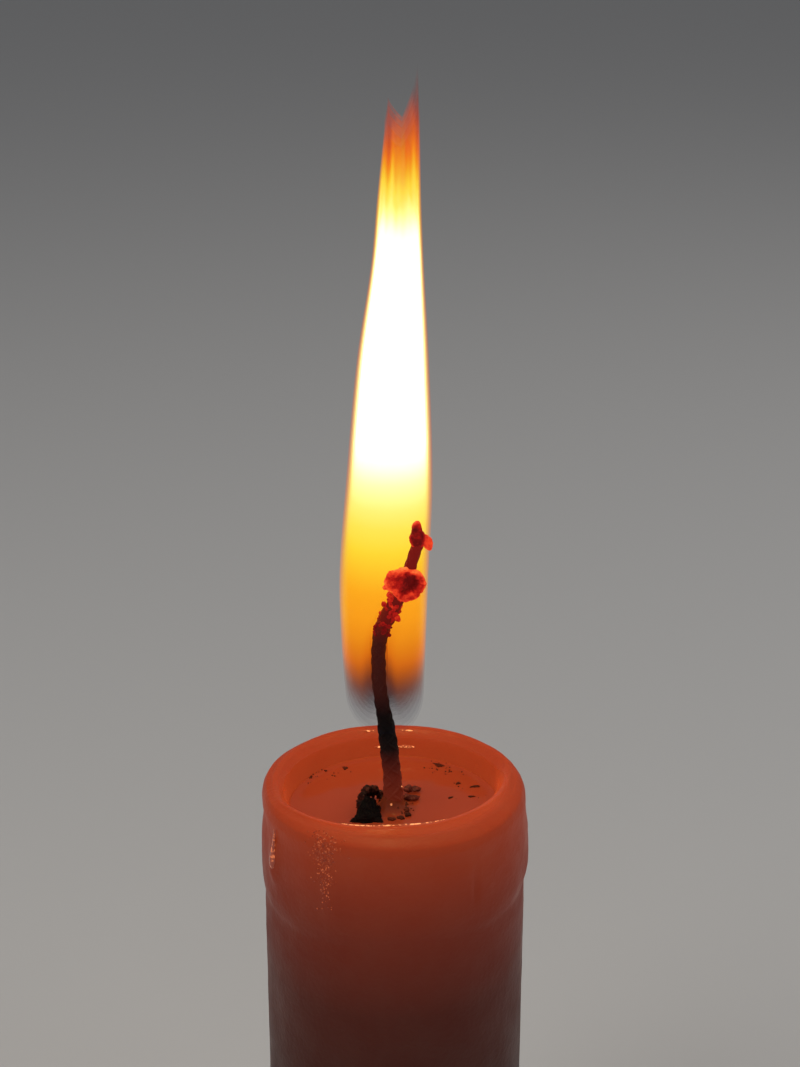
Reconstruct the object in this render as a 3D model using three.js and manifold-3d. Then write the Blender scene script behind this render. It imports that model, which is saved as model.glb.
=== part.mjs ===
// A lit, partly melted household candle: a plain round wax stub with a burnt cup, a full-width
// pool of liquid wax, a braided wick that has curled over and grown carbon, and its flame.
// Millimetres, +Z up. The origin is the centre of the flat base.

import * as THREE from 'three';
import { mergeVertices } from 'three/addons/utils/BufferGeometryUtils.js';
import Module from 'manifold-3d';

// ---------------------------------------------------------------- driving dimensions

const STUB_HEIGHT = 60; // base to the level of the wax shoulder
const BODY_RADIUS = 11.3;
const BASE_BEVEL = 0.6;

const SHOULDER_RADIUS = 11.1; // where the rim rounds over
const COLLAR_RADIUS = 11.5; // wax that overflowed and set round the top
const COLLAR_DEPTH = 8.0; // mean distance from the shoulder down to its lower edge
const COLLAR_TILT = 0.6; // it hangs lower on the left than on the right
const RIM_RISE = 1.0; // crest above the shoulder
const CREST_RADIUS = 10.45;
const LIP_RADIUS = 9.5; // where the rim turns down into the cup
const LIP_PINCH = 2.1; // the rim stands further in at the front than at the back
const PINCH_BEARING = -70; // degrees: where it stands in most, a little right of the front
const LEFT_SPREAD = 0.3; // the rim leans out on the left

const POOL_DROP = 1.8; // pool surface below the shoulder
const POOL_DEPTH = 2.2;
const POOL_RADIUS = 8.65;

const WICK_RADIUS = 0.85; // wax-soaked foot
const WICK_TOP_RADIUS = 0.5;
const WICK_BASE_GAP = 0.3;

const GAP = 0.3; // clearance left between neighbouring pieces

const FLAME_DEPTH_RATIO = 0.92; // front-to-back size over side-to-side size
const FLAME_OFFSET = 0.4; // the flame sits slightly behind the wick's root

const ROUND_STEPS = 64;
const WICK_SIDES = 12;

const level = (height) => STUB_HEIGHT + height;

// ---------------------------------------------------------------- finishes

function finish(colour, roughness, metalness = 0) {
  return new THREE.MeshStandardMaterial({ color: colour, roughness, metalness });
}

const waxFinish = () => finish(0x8c2c12, 0.45);
const liquidFinish = () => finish(0x8a2a10, 0.08);
const braidFinish = () => finish(0x1d1310, 0.9);
const emberFinish = () => finish(0x9c2410, 0.85);
const charFinish = () => finish(0x0e0a09, 0.95);
const finFinish = () => finish(0x5a2418, 0.8);

function flameFinish() {
  const material = finish(0xffb52e, 1.0);
  material.emissive = new THREE.Color(0xff9a1f);
  return material;
}

// ---------------------------------------------------------------- shared helpers

const wasm = await Module();
wasm.setup();

function onlyPositions(geometry) {
  geometry.deleteAttribute('normal');
  geometry.deleteAttribute('uv');
  return mergeVertices(geometry, 1e-4);
}

function toSolid(geometry) {
  const merged = onlyPositions(geometry.clone());
  return new wasm.Manifold(new wasm.Mesh({
    numProp: 3,
    vertProperties: new Float32Array(merged.attributes.position.array),
    triVerts: new Uint32Array(merged.index.array),
  }));
}

function toGeometry(solid) {
  const mesh = solid.getMesh();
  const geometry = new THREE.BufferGeometry();
  geometry.setAttribute('position', new THREE.BufferAttribute(mesh.vertProperties, 3));
  geometry.setIndex(new THREE.BufferAttribute(mesh.triVerts, 1));
  return geometry;
}

// Moves every corner of a geometry by a function of its place.
function reshape(geometry, move) {
  const corners = geometry.attributes.position;
  const point = new THREE.Vector3();
  for (let i = 0; i < corners.count; i += 1) {
    point.fromBufferAttribute(corners, i);
    move(point);
    corners.setXYZ(i, point.x, point.y, point.z);
  }
  return geometry;
}

// A profile of [radius, height] pairs turned about the vertical axis.
function turned(profile, steps = ROUND_STEPS) {
  const outline = profile.map(([radius, height]) => new THREE.Vector2(radius, height));
  return new THREE.LatheGeometry(outline, steps).rotateX(Math.PI / 2);
}

const part = new THREE.Group();

function add(name, geometry, material) {
  const mesh = new THREE.Mesh(geometry, material);
  mesh.name = name;
  part.add(mesh);
}

// A smooth step from 0 to 1 between two values.
function ease(from, to, value) {
  return THREE.MathUtils.smoothstep(value, from, to);
}

// ---------------------------------------------------------------- wax body

// How the rim rises and falls, by the angle round it. The front is at -90 degrees.
function rimWave(angle) {
  return 0.06 * Math.sin(3 * angle + 0.7) + 0.03 * Math.sin(7 * angle);
}

// How strongly the rim is pulled in: 1 at the pinch's bearing, 0 on the far side.
function pinchShare(angle) {
  return Math.max(0, Math.cos(angle - THREE.MathUtils.degToRad(PINCH_BEARING))) ** 1.2;
}

// How far the cup's wall stands in from a true circle, by angle and height.
function wallInset(angle, height) {
  const wall = ease(level(-POOL_DROP - 1.3), level(-0.4), height);
  return wall * LIP_PINCH * pinchShare(angle);
}

// The same pull on the top of the rim, fading out by the time it reaches the side.
function rimInset(angle, radius) {
  return LIP_PINCH * pinchShare(angle) * (1 - ease(CREST_RADIUS - 0.1, SHOULDER_RADIUS - 0.05, radius));
}

const BORE_RADIUS = WICK_RADIUS + GAP;
const CUP_FLOOR = level(-POOL_DROP - POOL_DEPTH - GAP);

function waxProfile() {
  const collarEdge = level(-COLLAR_DEPTH);
  return [
    [BORE_RADIUS, 0],
    [BODY_RADIUS - BASE_BEVEL, 0],
    [BODY_RADIUS - 0.2, 0.2],
    [BODY_RADIUS, BASE_BEVEL],
    [BODY_RADIUS, collarEdge - 12],
    [BODY_RADIUS, collarEdge - 1.4],
    [BODY_RADIUS, collarEdge - 0.3],
    [COLLAR_RADIUS - 0.1, collarEdge],
    [COLLAR_RADIUS, collarEdge + 0.8],
    [COLLAR_RADIUS, level(-5.2)],
    [COLLAR_RADIUS - 0.05, level(-3.4)],
    [SHOULDER_RADIUS + 0.15, level(-1.6)],
    [SHOULDER_RADIUS + 0.1, level(-0.4)],
    [SHOULDER_RADIUS - 0.1, level(0.35)],
    [CREST_RADIUS + 0.25, level(RIM_RISE - 0.2)],
    [CREST_RADIUS, level(RIM_RISE)],
    [CREST_RADIUS - 0.45, level(RIM_RISE - 0.12)],
    [LIP_RADIUS, level(RIM_RISE - 0.7)],
    [LIP_RADIUS - 0.2, level(-0.6)],
    [LIP_RADIUS - 0.45, level(-POOL_DROP)],
    [LIP_RADIUS - 1.2, level(-POOL_DROP - 1.2)],
    [6.2, level(-POOL_DROP - 1.9)],
    [3.6, CUP_FLOOR + 0.2],
    [BORE_RADIUS, CUP_FLOOR],
    [BORE_RADIUS, 0],
  ];
}

// Drips and hollows of the overflow collar: [angle in degrees, height, half width in degrees,
// half height, how far the wax stands out].
const DRIPS = [
  [-151, -3.2, 6, 2.4, 0.42],
  [-128, -2.4, 7, 2.8, 0.22],
  [-117, -4.6, 5, 3.4, 0.18],
  [-54, -4.2, 4, 1.8, -0.22],
  [-17, -6.4, 12, 1.6, 0.18],
  [38, -4.0, 9, 3.2, 0.22],
  [112, -5.2, 7, 3.4, 0.28],
];

function dripRise(angle, height) {
  let rise = 0;
  for (const [degrees, centre, halfWidth, halfHeight, proud] of DRIPS) {
    let turn = THREE.MathUtils.radToDeg(angle) - degrees;
    turn = ((turn + 540) % 360) - 180;
    const across = turn / halfWidth;
    const along = (height - level(centre)) / halfHeight;
    rise += proud * Math.exp(-across * across - along * along);
  }
  return rise;
}

function shapeWax(point) {
  const radius = Math.hypot(point.x, point.y);
  if (radius < BORE_RADIUS + 0.05) {
    return;
  }
  const angle = Math.atan2(point.y, point.x);
  const outer = radius > CREST_RADIUS + 0.2;
  const nearRim = ease(level(-2.4), level(0.6), point.z);
  let newRadius = radius;
  if (outer) {
    const collar = ease(level(-COLLAR_DEPTH - 1.5), level(-COLLAR_DEPTH + 0.5), point.z);
    newRadius += collar * (dripRise(angle, point.z) + 0.06 * Math.sin(7 * angle + 0.6));
    newRadius -= nearRim * rimInset(angle, radius);
    newRadius += nearRim * LEFT_SPREAD * Math.max(0, -Math.cos(angle)) ** 2;
  } else {
    newRadius -= wallInset(angle, point.z);
  }
  const lowerEdge = ease(level(-COLLAR_DEPTH - 6), level(-COLLAR_DEPTH), point.z);
  const upperFade = 1 - ease(level(-6.2), level(-3.0), point.z);
  const hang = COLLAR_TILT * Math.cos(angle) + 0.3 * Math.sin(4 * angle + 1.1);
  if (outer) {
    point.z += hang * lowerEdge * upperFade;
  }
  point.z += rimWave(angle) * nearRim;
  point.x = newRadius * Math.cos(angle);
  point.y = newRadius * Math.sin(angle);
}

function makeWaxBody() {
  return reshape(turned(waxProfile()), shapeWax);
}

// ---------------------------------------------------------------- molten pool

// A shallow dish of liquid wax with a hole for the wick, clear of the cup by the gap.
function makePool() {
  const surface = level(-POOL_DROP);
  const floor = CUP_FLOOR + GAP;
  const hole = BORE_RADIUS;
  const dish = turned([
    [hole, floor],
    [3.6, floor + 0.2],
    [6.1, level(-POOL_DROP - 1.55)],
    [POOL_RADIUS - 0.75, level(-POOL_DROP - 0.85)],
    [POOL_RADIUS - 0.1, level(-POOL_DROP - 0.25)],
    [POOL_RADIUS, surface + 0.12],
    [POOL_RADIUS - 0.3, surface],
    [2.0, surface],
    [hole, surface + 0.25],
    [hole, floor],
  ]);
  return reshape(dish, (point) => {
    const radius = Math.hypot(point.x, point.y);
    if (radius > POOL_RADIUS - 1) {
      const angle = Math.atan2(point.y, point.x);
      const share = (radius - wallInset(angle, point.z)) / radius;
      point.x *= share;
      point.y *= share;
    }
  });
}

// ---------------------------------------------------------------- wick

// The line of the wick: straight through the wax, then leaning left as it leaves the pool and
// curling over to the front right at its burnt end.
const WICK_ROUTE = [
  [0, 0, -STUB_HEIGHT + WICK_BASE_GAP],
  [0, 0, -40],
  [0, 0, -20],
  [0, 0, -6],
  [-0.1, 0, -1.5],
  [-0.15, 0, 0.7],
  [-0.34, -0.1, 2.8],
  [-0.72, -0.3, 6.3],
  [-1.23, -0.6, 9.9],
  [-1.32, -0.9, 12.7],
  [-1.25, -1.2, 14.4],
  [-0.95, -1.6, 15.9],
  [-0.4, -2.0, 17.3],
  [0.3, -2.5, 18.9],
  [0.95, -2.9, 20.6],
  [1.5, -3.2, 22.6],
  [1.95, -3.45, 24.2],
];

const wickLine = new THREE.CatmullRomCurve3(
  WICK_ROUTE.map(([x, y, height]) => new THREE.Vector3(x, y, level(height))),
  false,
  'centripetal',
);

function wickRadius(height) {
  const soaked = ease(level(4), level(-1), height);
  const crusted = Math.exp(-(((height - level(17)) / 1.3) ** 2));
  const neck = ease(level(19), level(22), height);
  const slim = THREE.MathUtils.lerp(0.74, WICK_TOP_RADIUS + 0.08, ease(level(5), level(13), height));
  return THREE.MathUtils.lerp(slim, WICK_RADIUS, soaked) + 0.14 * crusted - 0.02 * neck;
}

// Bends an upright cylinder of height 1 along a curve, with a radius for every height.
function alongCurve(curve, radiusAt, sides, rings) {
  const frames = curve.computeFrenetFrames(rings, false);
  const places = curve.getSpacedPoints(rings);
  const rod = new THREE.CylinderGeometry(1, 1, 1, sides, rings).rotateX(Math.PI / 2);
  return reshape(rod, (point) => {
    const ring = Math.round((point.z + 0.5) * rings);
    const centre = places[ring];
    const radius = radiusAt(centre.z);
    const across = frames.normals[ring].clone().multiplyScalar(point.x * radius);
    const over = frames.binormals[ring].clone().multiplyScalar(point.y * radius);
    point.copy(centre).add(across).add(over);
  });
}

const WICK_RINGS = 48;

function makeWick() {
  return alongCurve(wickLine, wickRadius, WICK_SIDES, WICK_RINGS);
}

// ---------------------------------------------------------------- carbon on the wick

// A rounded crumb of carbon: a ball stretched to its size and roughened by waves.
function crumb({ at, size, waves = 3, rough = 0.12, phase = 0, detail = 12 }) {
  const ball = new THREE.SphereGeometry(1, detail, Math.round(detail * 0.75));
  return reshape(ball, (point) => {
    const swell = 1 + rough * Math.sin(waves * point.x + phase)
      * Math.sin(waves * point.y + 1.7 * phase)
      + rough * 0.7 * Math.sin(waves * 1.6 * point.z + phase);
    point.set(
      at[0] + point.x * size[0] * swell,
      at[1] + point.y * size[1] * swell,
      level(at[2]) + point.z * size[2] * swell,
    );
  });
}

const wickWithGap = alongCurve(wickLine, (height) => wickRadius(height) + GAP, WICK_SIDES, WICK_RINGS);

const CAP_CARBON = [
  { at: [1.35, -3.7, 20.5], size: [1.4, 0.8, 1.5], waves: 3.1, rough: 0.12, phase: 0.4 },
  { at: [-0.05, -3.7, 20.45], size: [0.85, 0.7, 1.15], waves: 3.7, rough: 0.12, phase: 2.1 },
];
const CAP_DISH = { at: [0.9, -4.75, 20.5], size: [1.25, 0.6, 0.95], rough: 0 }; // its open face
const TIP_CARBON = [
  { at: [2.0, -3.5, 24.75], size: [0.72, 0.68, 1.15], waves: 3.4, rough: 0.12, phase: 1.2 },
  { at: [2.62, -3.45, 24.05], size: [0.5, 0.5, 0.75], waves: 3.9, rough: 0.12, phase: 3.0 },
];

// One carbon growth: its lobes joined, with the wick's path cut through them.
function makeGrowth(lobes) {
  const solids = lobes.map((lobe) => toSolid(crumb(lobe)));
  const joined = solids.reduce((whole, solid) => whole.add(solid));
  return joined.subtract(toSolid(wickWithGap));
}

// The cap is a shallow bowl that opens to the front.
function makeCap() {
  return makeGrowth(CAP_CARBON).subtract(toSolid(crumb(CAP_DISH)));
}

// ---------------------------------------------------------------- flame

// The flame at each height above the shoulder: [height, middle, half width].
const FLAME_SIZES = [
  [6, -0.6, 2.2],
  [8.5, -0.8, 3.0],
  [14, -0.9, 3.3],
  [20, -0.85, 3.4],
  [28, -0.4, 3.3],
  [38, -0.1, 2.7],
  [46, 0.3, 1.9],
  [51, 0.4, 1.6],
  [54.2, 0.55, 0.7],
];

const flameWidth = new THREE.SplineCurve(
  FLAME_SIZES.map(([height, , halfWidth]) => new THREE.Vector2(height, halfWidth)),
);
const flameMiddle = new THREE.SplineCurve(
  FLAME_SIZES.map(([height, middle]) => new THREE.Vector2(height, middle)),
);

const FLAME_RINGS = 28;
const FLAME_SIDES = 24;

// The body of the flame: an upright cylinder whose rings follow the two curves, with a flat foot.
function makeFlameBody() {
  const rod = new THREE.CylinderGeometry(1, 1, 1, FLAME_SIDES, FLAME_RINGS).rotateX(Math.PI / 2);
  return reshape(rod, (point) => {
    const share = point.z + 0.5;
    const width = flameWidth.getPoint(share);
    const middle = flameMiddle.getPoint(share);
    point.set(
      middle.y + point.x * width.y,
      FLAME_OFFSET + point.y * width.y * FLAME_DEPTH_RATIO,
      level(width.x),
    );
  });
}

const TONGUE_TIP = 0.12; // tip radius over foot radius
const TONGUE_BULGE = 0.3;
const TONGUE_SIDES = 16;
const TONGUE_RINGS = 8;

// One pointed tongue at the top: a tapering cone whose foot is buried in the flame's body.
function makeTongue({ foot, tip, radius }) {
  const cone = new THREE.CylinderGeometry(TONGUE_TIP, 1, 1, TONGUE_SIDES, TONGUE_RINGS).rotateX(Math.PI / 2);
  return reshape(cone, (point) => {
    const share = point.z + 0.5;
    const bulge = 1 + TONGUE_BULGE * Math.sin(Math.PI * share);
    const x = THREE.MathUtils.lerp(foot[0], tip[0], share);
    point.set(
      x + point.x * radius * bulge,
      FLAME_OFFSET + point.y * radius * bulge * FLAME_DEPTH_RATIO,
      level(THREE.MathUtils.lerp(foot[1], tip[1], share)),
    );
  });
}

const TONGUES = [
  { foot: [1.0, 49.5], tip: [1.82, 61.5], radius: 0.95 },
  { foot: [-0.2, 49.5], tip: [-0.44, 57.6], radius: 0.9 },
];

function growthWithGap(lobes) {
  return lobes.map((lobe) => crumb({ ...lobe, size: lobe.size.map((half) => half + GAP) }));
}

const NODULES = [
  { name: 'crust_nodule_left', at: [-1.5, -2.3, 18.2], size: [0.34, 0.34, 0.4], phase: 0.9 },
  { name: 'crust_nodule_upper', at: [-1.15, -2.75, 19.4], size: [0.28, 0.28, 0.3], phase: 2.6 },
  { name: 'crust_nodule_right', at: [0.95, -2.05, 17.1], size: [0.34, 0.34, 0.36], phase: 4.0 },
];

function makeFlame() {
  let solid = toSolid(makeFlameBody());
  for (const tongue of TONGUES) {
    solid = solid.add(toSolid(makeTongue(tongue)));
  }
  const hollows = [
    wickWithGap,
    ...growthWithGap(CAP_CARBON),
    ...growthWithGap(TIP_CARBON),
    ...growthWithGap(NODULES),
  ];
  for (const hollow of hollows) {
    solid = solid.subtract(toSolid(hollow));
  }
  return solid;
}

// ---------------------------------------------------------------- debris in the pool

const FLOAT = -POOL_DROP + GAP * 0.5; // underside of what floats on the liquid

const DEBRIS = [
  {
    name: 'char_lump',
    finish: charFinish,
    at: [-2.45, -0.2, FLOAT + 0.62],
    size: [1.15, 1.9, 0.6],
    rough: 0.12,
    phase: 1.1,
  },
  {
    name: 'char_fin_front',
    finish: finFinish,
    at: [1.85, 1.3, FLOAT + 0.45],
    size: [0.42, 0.6, 0.42],
    rough: 0.12,
    phase: 0.3,
  },
  {
    name: 'char_fin_back',
    finish: finFinish,
    at: [1.75, 3.3, FLOAT + 0.42],
    size: [0.5, 0.6, 0.4],
    rough: 0.12,
    phase: 2.2,
  },
  {
    name: 'char_crumb',
    finish: charFinish,
    at: [1.0, -0.9, FLOAT + 0.24],
    size: [0.28, 0.24, 0.2],
    rough: 0.1,
    phase: 3.3,
  },
];

// Flat flakes of soot: [x, y, half length, half width, turn in degrees].
const FLAKES = [
  [3.9, 7.0, 0.42, 0.16, -35],
  [-4.4, 6.6, 0.2, 0.16, 10],
  [5.5, 4.5, 0.3, 0.14, -20],
  [6.6, 3.6, 0.24, 0.15, 15],
  [6.9, 1.9, 0.2, 0.14, 0],
  [4.9, 1.8, 0.18, 0.13, 40],
  [-7.1, 3.5, 0.18, 0.12, 60],
  [-6.2, 5.0, 0.22, 0.12, -15],
];
const FLAKE_THICKNESS = 0.12;

function makeFlake([x, y, halfLength, halfWidth, turn]) {
  return new THREE.CylinderGeometry(1, 0.85, FLAKE_THICKNESS, 9)
    .rotateX(Math.PI / 2)
    .scale(halfLength, halfWidth, 1)
    .rotateZ(THREE.MathUtils.degToRad(turn))
    .translate(x, y, level(FLOAT) + FLAKE_THICKNESS / 2);
}

// ---------------------------------------------------------------- the object

add('wax_body', makeWaxBody(), waxFinish());
add('molten_pool', makePool(), liquidFinish());
add('wick', makeWick(), braidFinish());
add('carbon_cap', toGeometry(makeCap()), emberFinish());
add('carbon_tip', toGeometry(makeGrowth(TIP_CARBON)), emberFinish());
for (const nodule of NODULES) {
  add(nodule.name, toGeometry(makeGrowth([{ ...nodule, detail: 8 }])), emberFinish());
}
for (const piece of DEBRIS) {
  add(piece.name, crumb(piece), piece.finish());
}
FLAKES.forEach((flake, index) => {
  add(`soot_flake_${index + 1}`, makeFlake(flake), charFinish());
});
add('flame', toGeometry(makeFlame()), flameFinish());

export default part;
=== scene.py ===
import math
import random

import bmesh
import bpy
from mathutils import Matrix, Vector, noise


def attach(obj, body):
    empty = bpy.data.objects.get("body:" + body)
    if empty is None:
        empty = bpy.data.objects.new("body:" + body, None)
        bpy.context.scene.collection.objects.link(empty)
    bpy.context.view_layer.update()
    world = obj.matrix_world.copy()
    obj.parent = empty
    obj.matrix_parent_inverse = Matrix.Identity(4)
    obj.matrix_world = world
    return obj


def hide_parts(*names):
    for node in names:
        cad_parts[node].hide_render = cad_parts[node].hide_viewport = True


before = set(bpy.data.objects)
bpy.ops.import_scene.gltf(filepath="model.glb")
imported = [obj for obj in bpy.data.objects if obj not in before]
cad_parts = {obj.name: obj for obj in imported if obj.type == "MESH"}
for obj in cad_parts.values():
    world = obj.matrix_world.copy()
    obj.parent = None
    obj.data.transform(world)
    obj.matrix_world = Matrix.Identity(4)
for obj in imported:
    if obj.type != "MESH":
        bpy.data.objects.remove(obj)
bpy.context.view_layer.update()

# Camera, lights, floor and the grey surround. The camera stands in front of the candle and looks
# down on the pool at a low angle. The floor is pale, and the light on it falls off behind, so
# that the flame stands out against it.
MM = 0.001
scene = bpy.context.scene
scene.view_settings.view_transform = "Standard"
scene.cycles.transparent_max_bounces = 64

SHOULDER = 0.060  # height of the wax shoulder above the base
EYE_OFFSET = Vector((0.00047, -0.1527, 0.08218))
EYE_PITCH = math.radians(21)
EYE_LENS = 67.48


def add_object(name, data):
    """A new object with its data, put in the scene."""
    made = bpy.data.objects.new(name, data)
    scene.collection.objects.link(made)
    return made


def material(name, roughness, **sockets):
    """A node material: returns it, its tree and its Principled shader, with constants set."""
    made = bpy.data.materials.new(name)
    made.use_nodes = True
    tree = made.node_tree
    shader = tree.nodes["Principled BSDF"]
    shader.inputs["Roughness"].default_value = roughness
    for socket, value in sockets.items():
        shader.inputs[socket.replace("_", " ")].default_value = value
    return made, tree, shader


eye = add_object("eye", bpy.data.cameras.new("eye"))
eye.location = Vector((0, 0, SHOULDER)) + EYE_OFFSET
eye.rotation_euler = (math.pi / 2 - EYE_PITCH, 0, 0)
eye.data.lens = EYE_LENS
eye.data.sensor_width = 36
eye.data.clip_start = 0.005
scene.camera = eye


def soft_light(name, place, size, watts, colour):
    """A round lamp aimed at the shoulder. It isn't mirrored in the wax, as only the flame is."""
    lamp = add_object(name, bpy.data.lights.new(name, "AREA"))
    lamp.data.shape = "DISK"
    lamp.data.size = size
    lamp.data.energy = watts
    lamp.data.color = colour
    lamp.location = place
    aim = Vector((0, 0, SHOULDER)) - Vector(place)
    lamp.rotation_euler = aim.to_track_quat("-Z", "Y").to_euler()
    lamp.visible_glossy = False


soft_light("key", (-0.28, -0.20, 0.36), 0.36, 0.9, (1.0, 0.96, 0.9))
soft_light("fill", (0.34, -0.16, 0.22), 0.36, 0.3, (0.9, 0.95, 1.0))
soft_light("back", (0.36, 0.16, 0.50), 0.3, 0.6, (1.0, 0.98, 0.95))

world = bpy.data.worlds.new("surround")
world.use_nodes = True
surround = world.node_tree.nodes["Background"]
surround.inputs["Color"].default_value = (0.42, 0.43, 0.45, 1)
surround.inputs["Strength"].default_value = 0.38
scene.world = world

FLOOR_REACH = 3.0
floor_mesh = bpy.data.meshes.new("floor")
floor_mesh.from_pydata(
    [(x * FLOOR_REACH, y * FLOOR_REACH, 0) for x, y in ((-1, -1), (1, -1), (1, 1), (-1, 1))],
    [], [(0, 1, 2, 3)])
floor = add_object("floor", floor_mesh)
floor_paint, _, _ = material("floor_paint", 0.85, Base_Color=(0.62, 0.61, 0.6, 1))
floor.data.materials.append(floor_paint)

# ------------------------------------------------------------------------------------------
# Wax body. One casting of dyed paraffin: a plain round stub whose top has melted into a cup, with
# a rounded rim, and a collar where wax overflowed and set. Drips and a frosted run are on it.


def level(height):
    """Metres above the base, from millimetres above the shoulder."""
    return SHOULDER + height * MM


def ease(low, high, value):
    """A smooth step from 0 at one value to 1 at another."""
    share = min(1.0, max(0.0, (value - low) / (high - low)))
    return share * share * (3 - 2 * share)


def bell(value, centre, half_width):
    return math.exp(-((value - centre) / half_width) ** 2)


def angle_gap(a, b):
    """Degrees from b to a the short way round."""
    return (a - b + 180) % 360 - 180


def new_piece(name, points, faces, finish):
    """A mesh object at the origin, with its points in millimetres from the shoulder's centre."""
    mesh = bpy.data.meshes.new(name)
    mesh.from_pydata([(x * MM, y * MM, level(z)) for x, y, z in points], [], faces)
    mesh.validate()
    mesh.materials.append(finish)
    return add_object(name, mesh)


def ring_faces(rings, sides, closed=False):
    """Quads between rings of points, each ring holding the same number of sides."""
    faces = []
    for r in range(rings if closed else rings - 1):
        low, high = r * sides, (r + 1) % rings * sides
        for s in range(sides):
            t = (s + 1) % sides
            faces.append((low + s, low + t, high + t, high + s))
    return faces


def turns(sides):
    """The angles of points spread evenly round a circle."""
    return [2 * math.pi * side / sides for side in range(sides)]


def outward(piece):
    """Merges doubles, turns every face of a closed piece outwards and shades it smooth."""
    work = bmesh.new()
    work.from_mesh(piece.data)
    bmesh.ops.remove_doubles(work, verts=work.verts, dist=1e-7)
    bmesh.ops.recalc_face_normals(work, faces=work.faces)
    work.to_mesh(piece.data)
    work.free()
    piece.data.shade_smooth()


def node(tree, kind, links=None, **settings):
    """Adds a node, sets its properties, and feeds its inputs from values or sockets."""
    made = tree.nodes.new(kind)
    for setting, value in settings.items():
        setattr(made, setting, value)
    for name, value in (links or {}).items():
        socket = made.inputs[name]
        if isinstance(value, bpy.types.NodeSocket):
            tree.links.new(value, socket)
        else:
            socket.default_value = value
    return made


def feed(shader, **sources):
    """Links sockets to a shader's inputs by name."""
    for name, source in sources.items():
        shader.id_data.links.new(source, shader.inputs[name.replace("_", " ")])


def in_place(tree):
    return node(tree, "ShaderNodeTexCoord").outputs["Object"]


def speckle(tree, scale, detail=2.0, roughness=0.5):
    """An uneven pattern all through a piece, from 0 to 1."""
    return node(tree, "ShaderNodeTexNoise", {
        "Vector": in_place(tree), "Scale": scale, "Detail": detail,
        "Roughness": roughness}).outputs["Fac"]


def share_of(tree, value, low, high, start=0.0, end=1.0):
    """Runs from start to end as a value goes from low to high."""
    return node(tree, "ShaderNodeMapRange", {
        "Value": value, "From Min": low, "From Max": high,
        "To Min": start, "To Max": end}).outputs["Result"]


def height_share(tree, low, high):
    """0 to 1 between two heights in millimetres above the shoulder."""
    z = node(tree, "ShaderNodeSeparateXYZ", {0: in_place(tree)}).outputs["Z"]
    return share_of(tree, z, level(low), level(high))


def from_middle(tree):
    """Metres out from the candle's middle line."""
    flat = node(tree, "ShaderNodeVectorMath", {0: in_place(tree), 1: (1, 1, 0)},
                operation="MULTIPLY").outputs[0]
    return node(tree, "ShaderNodeVectorMath", {0: flat}, operation="LENGTH").outputs["Value"]


def ramp(tree, factor, stops):
    """A colour ramp from (place, colour) stops."""
    made = node(tree, "ShaderNodeValToRGB", {"Fac": factor})
    elements = made.color_ramp.elements
    while len(elements) < len(stops):
        elements.new(0.5)
    for element, (place, colour) in zip(elements, stops):
        element.position = place
        element.color = (*colour, 1)
    return made.outputs["Color"]


def mix(tree, factor, a, b, blend="MIX"):
    """Mixes two colours; each is a colour or a socket."""
    return node(tree, "ShaderNodeMix", {0: factor, 6: a, 7: b},
                data_type="RGBA", blend_type=blend).outputs[2]


def bump(tree, height, strength, distance):
    return node(tree, "ShaderNodeBump", {
        "Height": height, "Strength": strength, "Distance": distance}).outputs["Normal"]


def wax_skin_group():
    """Shared look of set and liquid wax: cloudy colour shift and a fine uneven height."""
    group = bpy.data.node_groups.new("wax_skin", "ShaderNodeTree")
    for way, names in (("INPUT", ("Cloud Scale", "Pit Scale")), ("OUTPUT", ("Cloud", "Height"))):
        for name in names:
            group.interface.new_socket(name, in_out=way, socket_type="NodeSocketFloat")
    inside = node(group, "NodeGroupInput").outputs
    cloud = speckle(group, inside["Cloud Scale"], 4.0, 0.55)
    pits = speckle(group, inside["Pit Scale"], 3.0)
    height = node(group, "ShaderNodeMath", {0: cloud, 1: pits}, operation="ADD").outputs[0]
    node(group, "NodeGroupOutput", {"Cloud": cloud, "Height": height})
    return group


WAX_SKIN = wax_skin_group()


def place_wax_skin(tree, cloud_scale, pit_scale):
    return node(tree, "ShaderNodeGroup", {"Cloud Scale": cloud_scale, "Pit Scale": pit_scale},
                node_tree=WAX_SKIN).outputs


BASE, RIM_TOP = -60.0, 1.5  # in millimetres above the shoulder, as all heights below

# Colour of the set wax from its base to its rim: its dye, with painted light that lightens it
# towards the rim and painted shade that darkens it towards the base; then a painted glow of the
# flame's light on it. Both as [share of the height, colour].
WAX_DYE_AND_PAINTED_LIGHT = [
    (0.0, (0.026, 0.0105, 0.0080)),
    (0.5, (0.034, 0.0115, 0.0080)),
    (0.72, (0.058, 0.0145, 0.0085)),
    (0.88, (0.115, 0.0200, 0.0085)),
    (1.0, (0.205, 0.0290, 0.0095)),
]
PAINTED_FLAME_GLOW = [
    (0.0, (0.0, 0.0, 0.0)),
    (0.5, (0.003, 0.0003, 0.0)),
    (0.72, (0.022, 0.0020, 0.0005)),
    (0.84, (0.060, 0.0055, 0.0014)),
    (0.92, (0.110, 0.0115, 0.0028)),
    (0.97, (0.150, 0.0170, 0.0040)),
    (1.0, (0.190, 0.0230, 0.0050)),
]
SCATTER_COLOURS = (1.0, 0.28, 0.1)  # how far red, green and blue light spread in wax
WET_REACH, DRY_REACH = 0.0092, 0.0100  # the cup's wall is wet as far out as this, in metres
WET_ROUGHNESS = 0.16
# a painted glow on the cup's wet wall, which brings its colour close to the pool's
PAINTED_CUP_GLOW = (0.085, 0.0125, 0.0035, 1)


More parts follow.
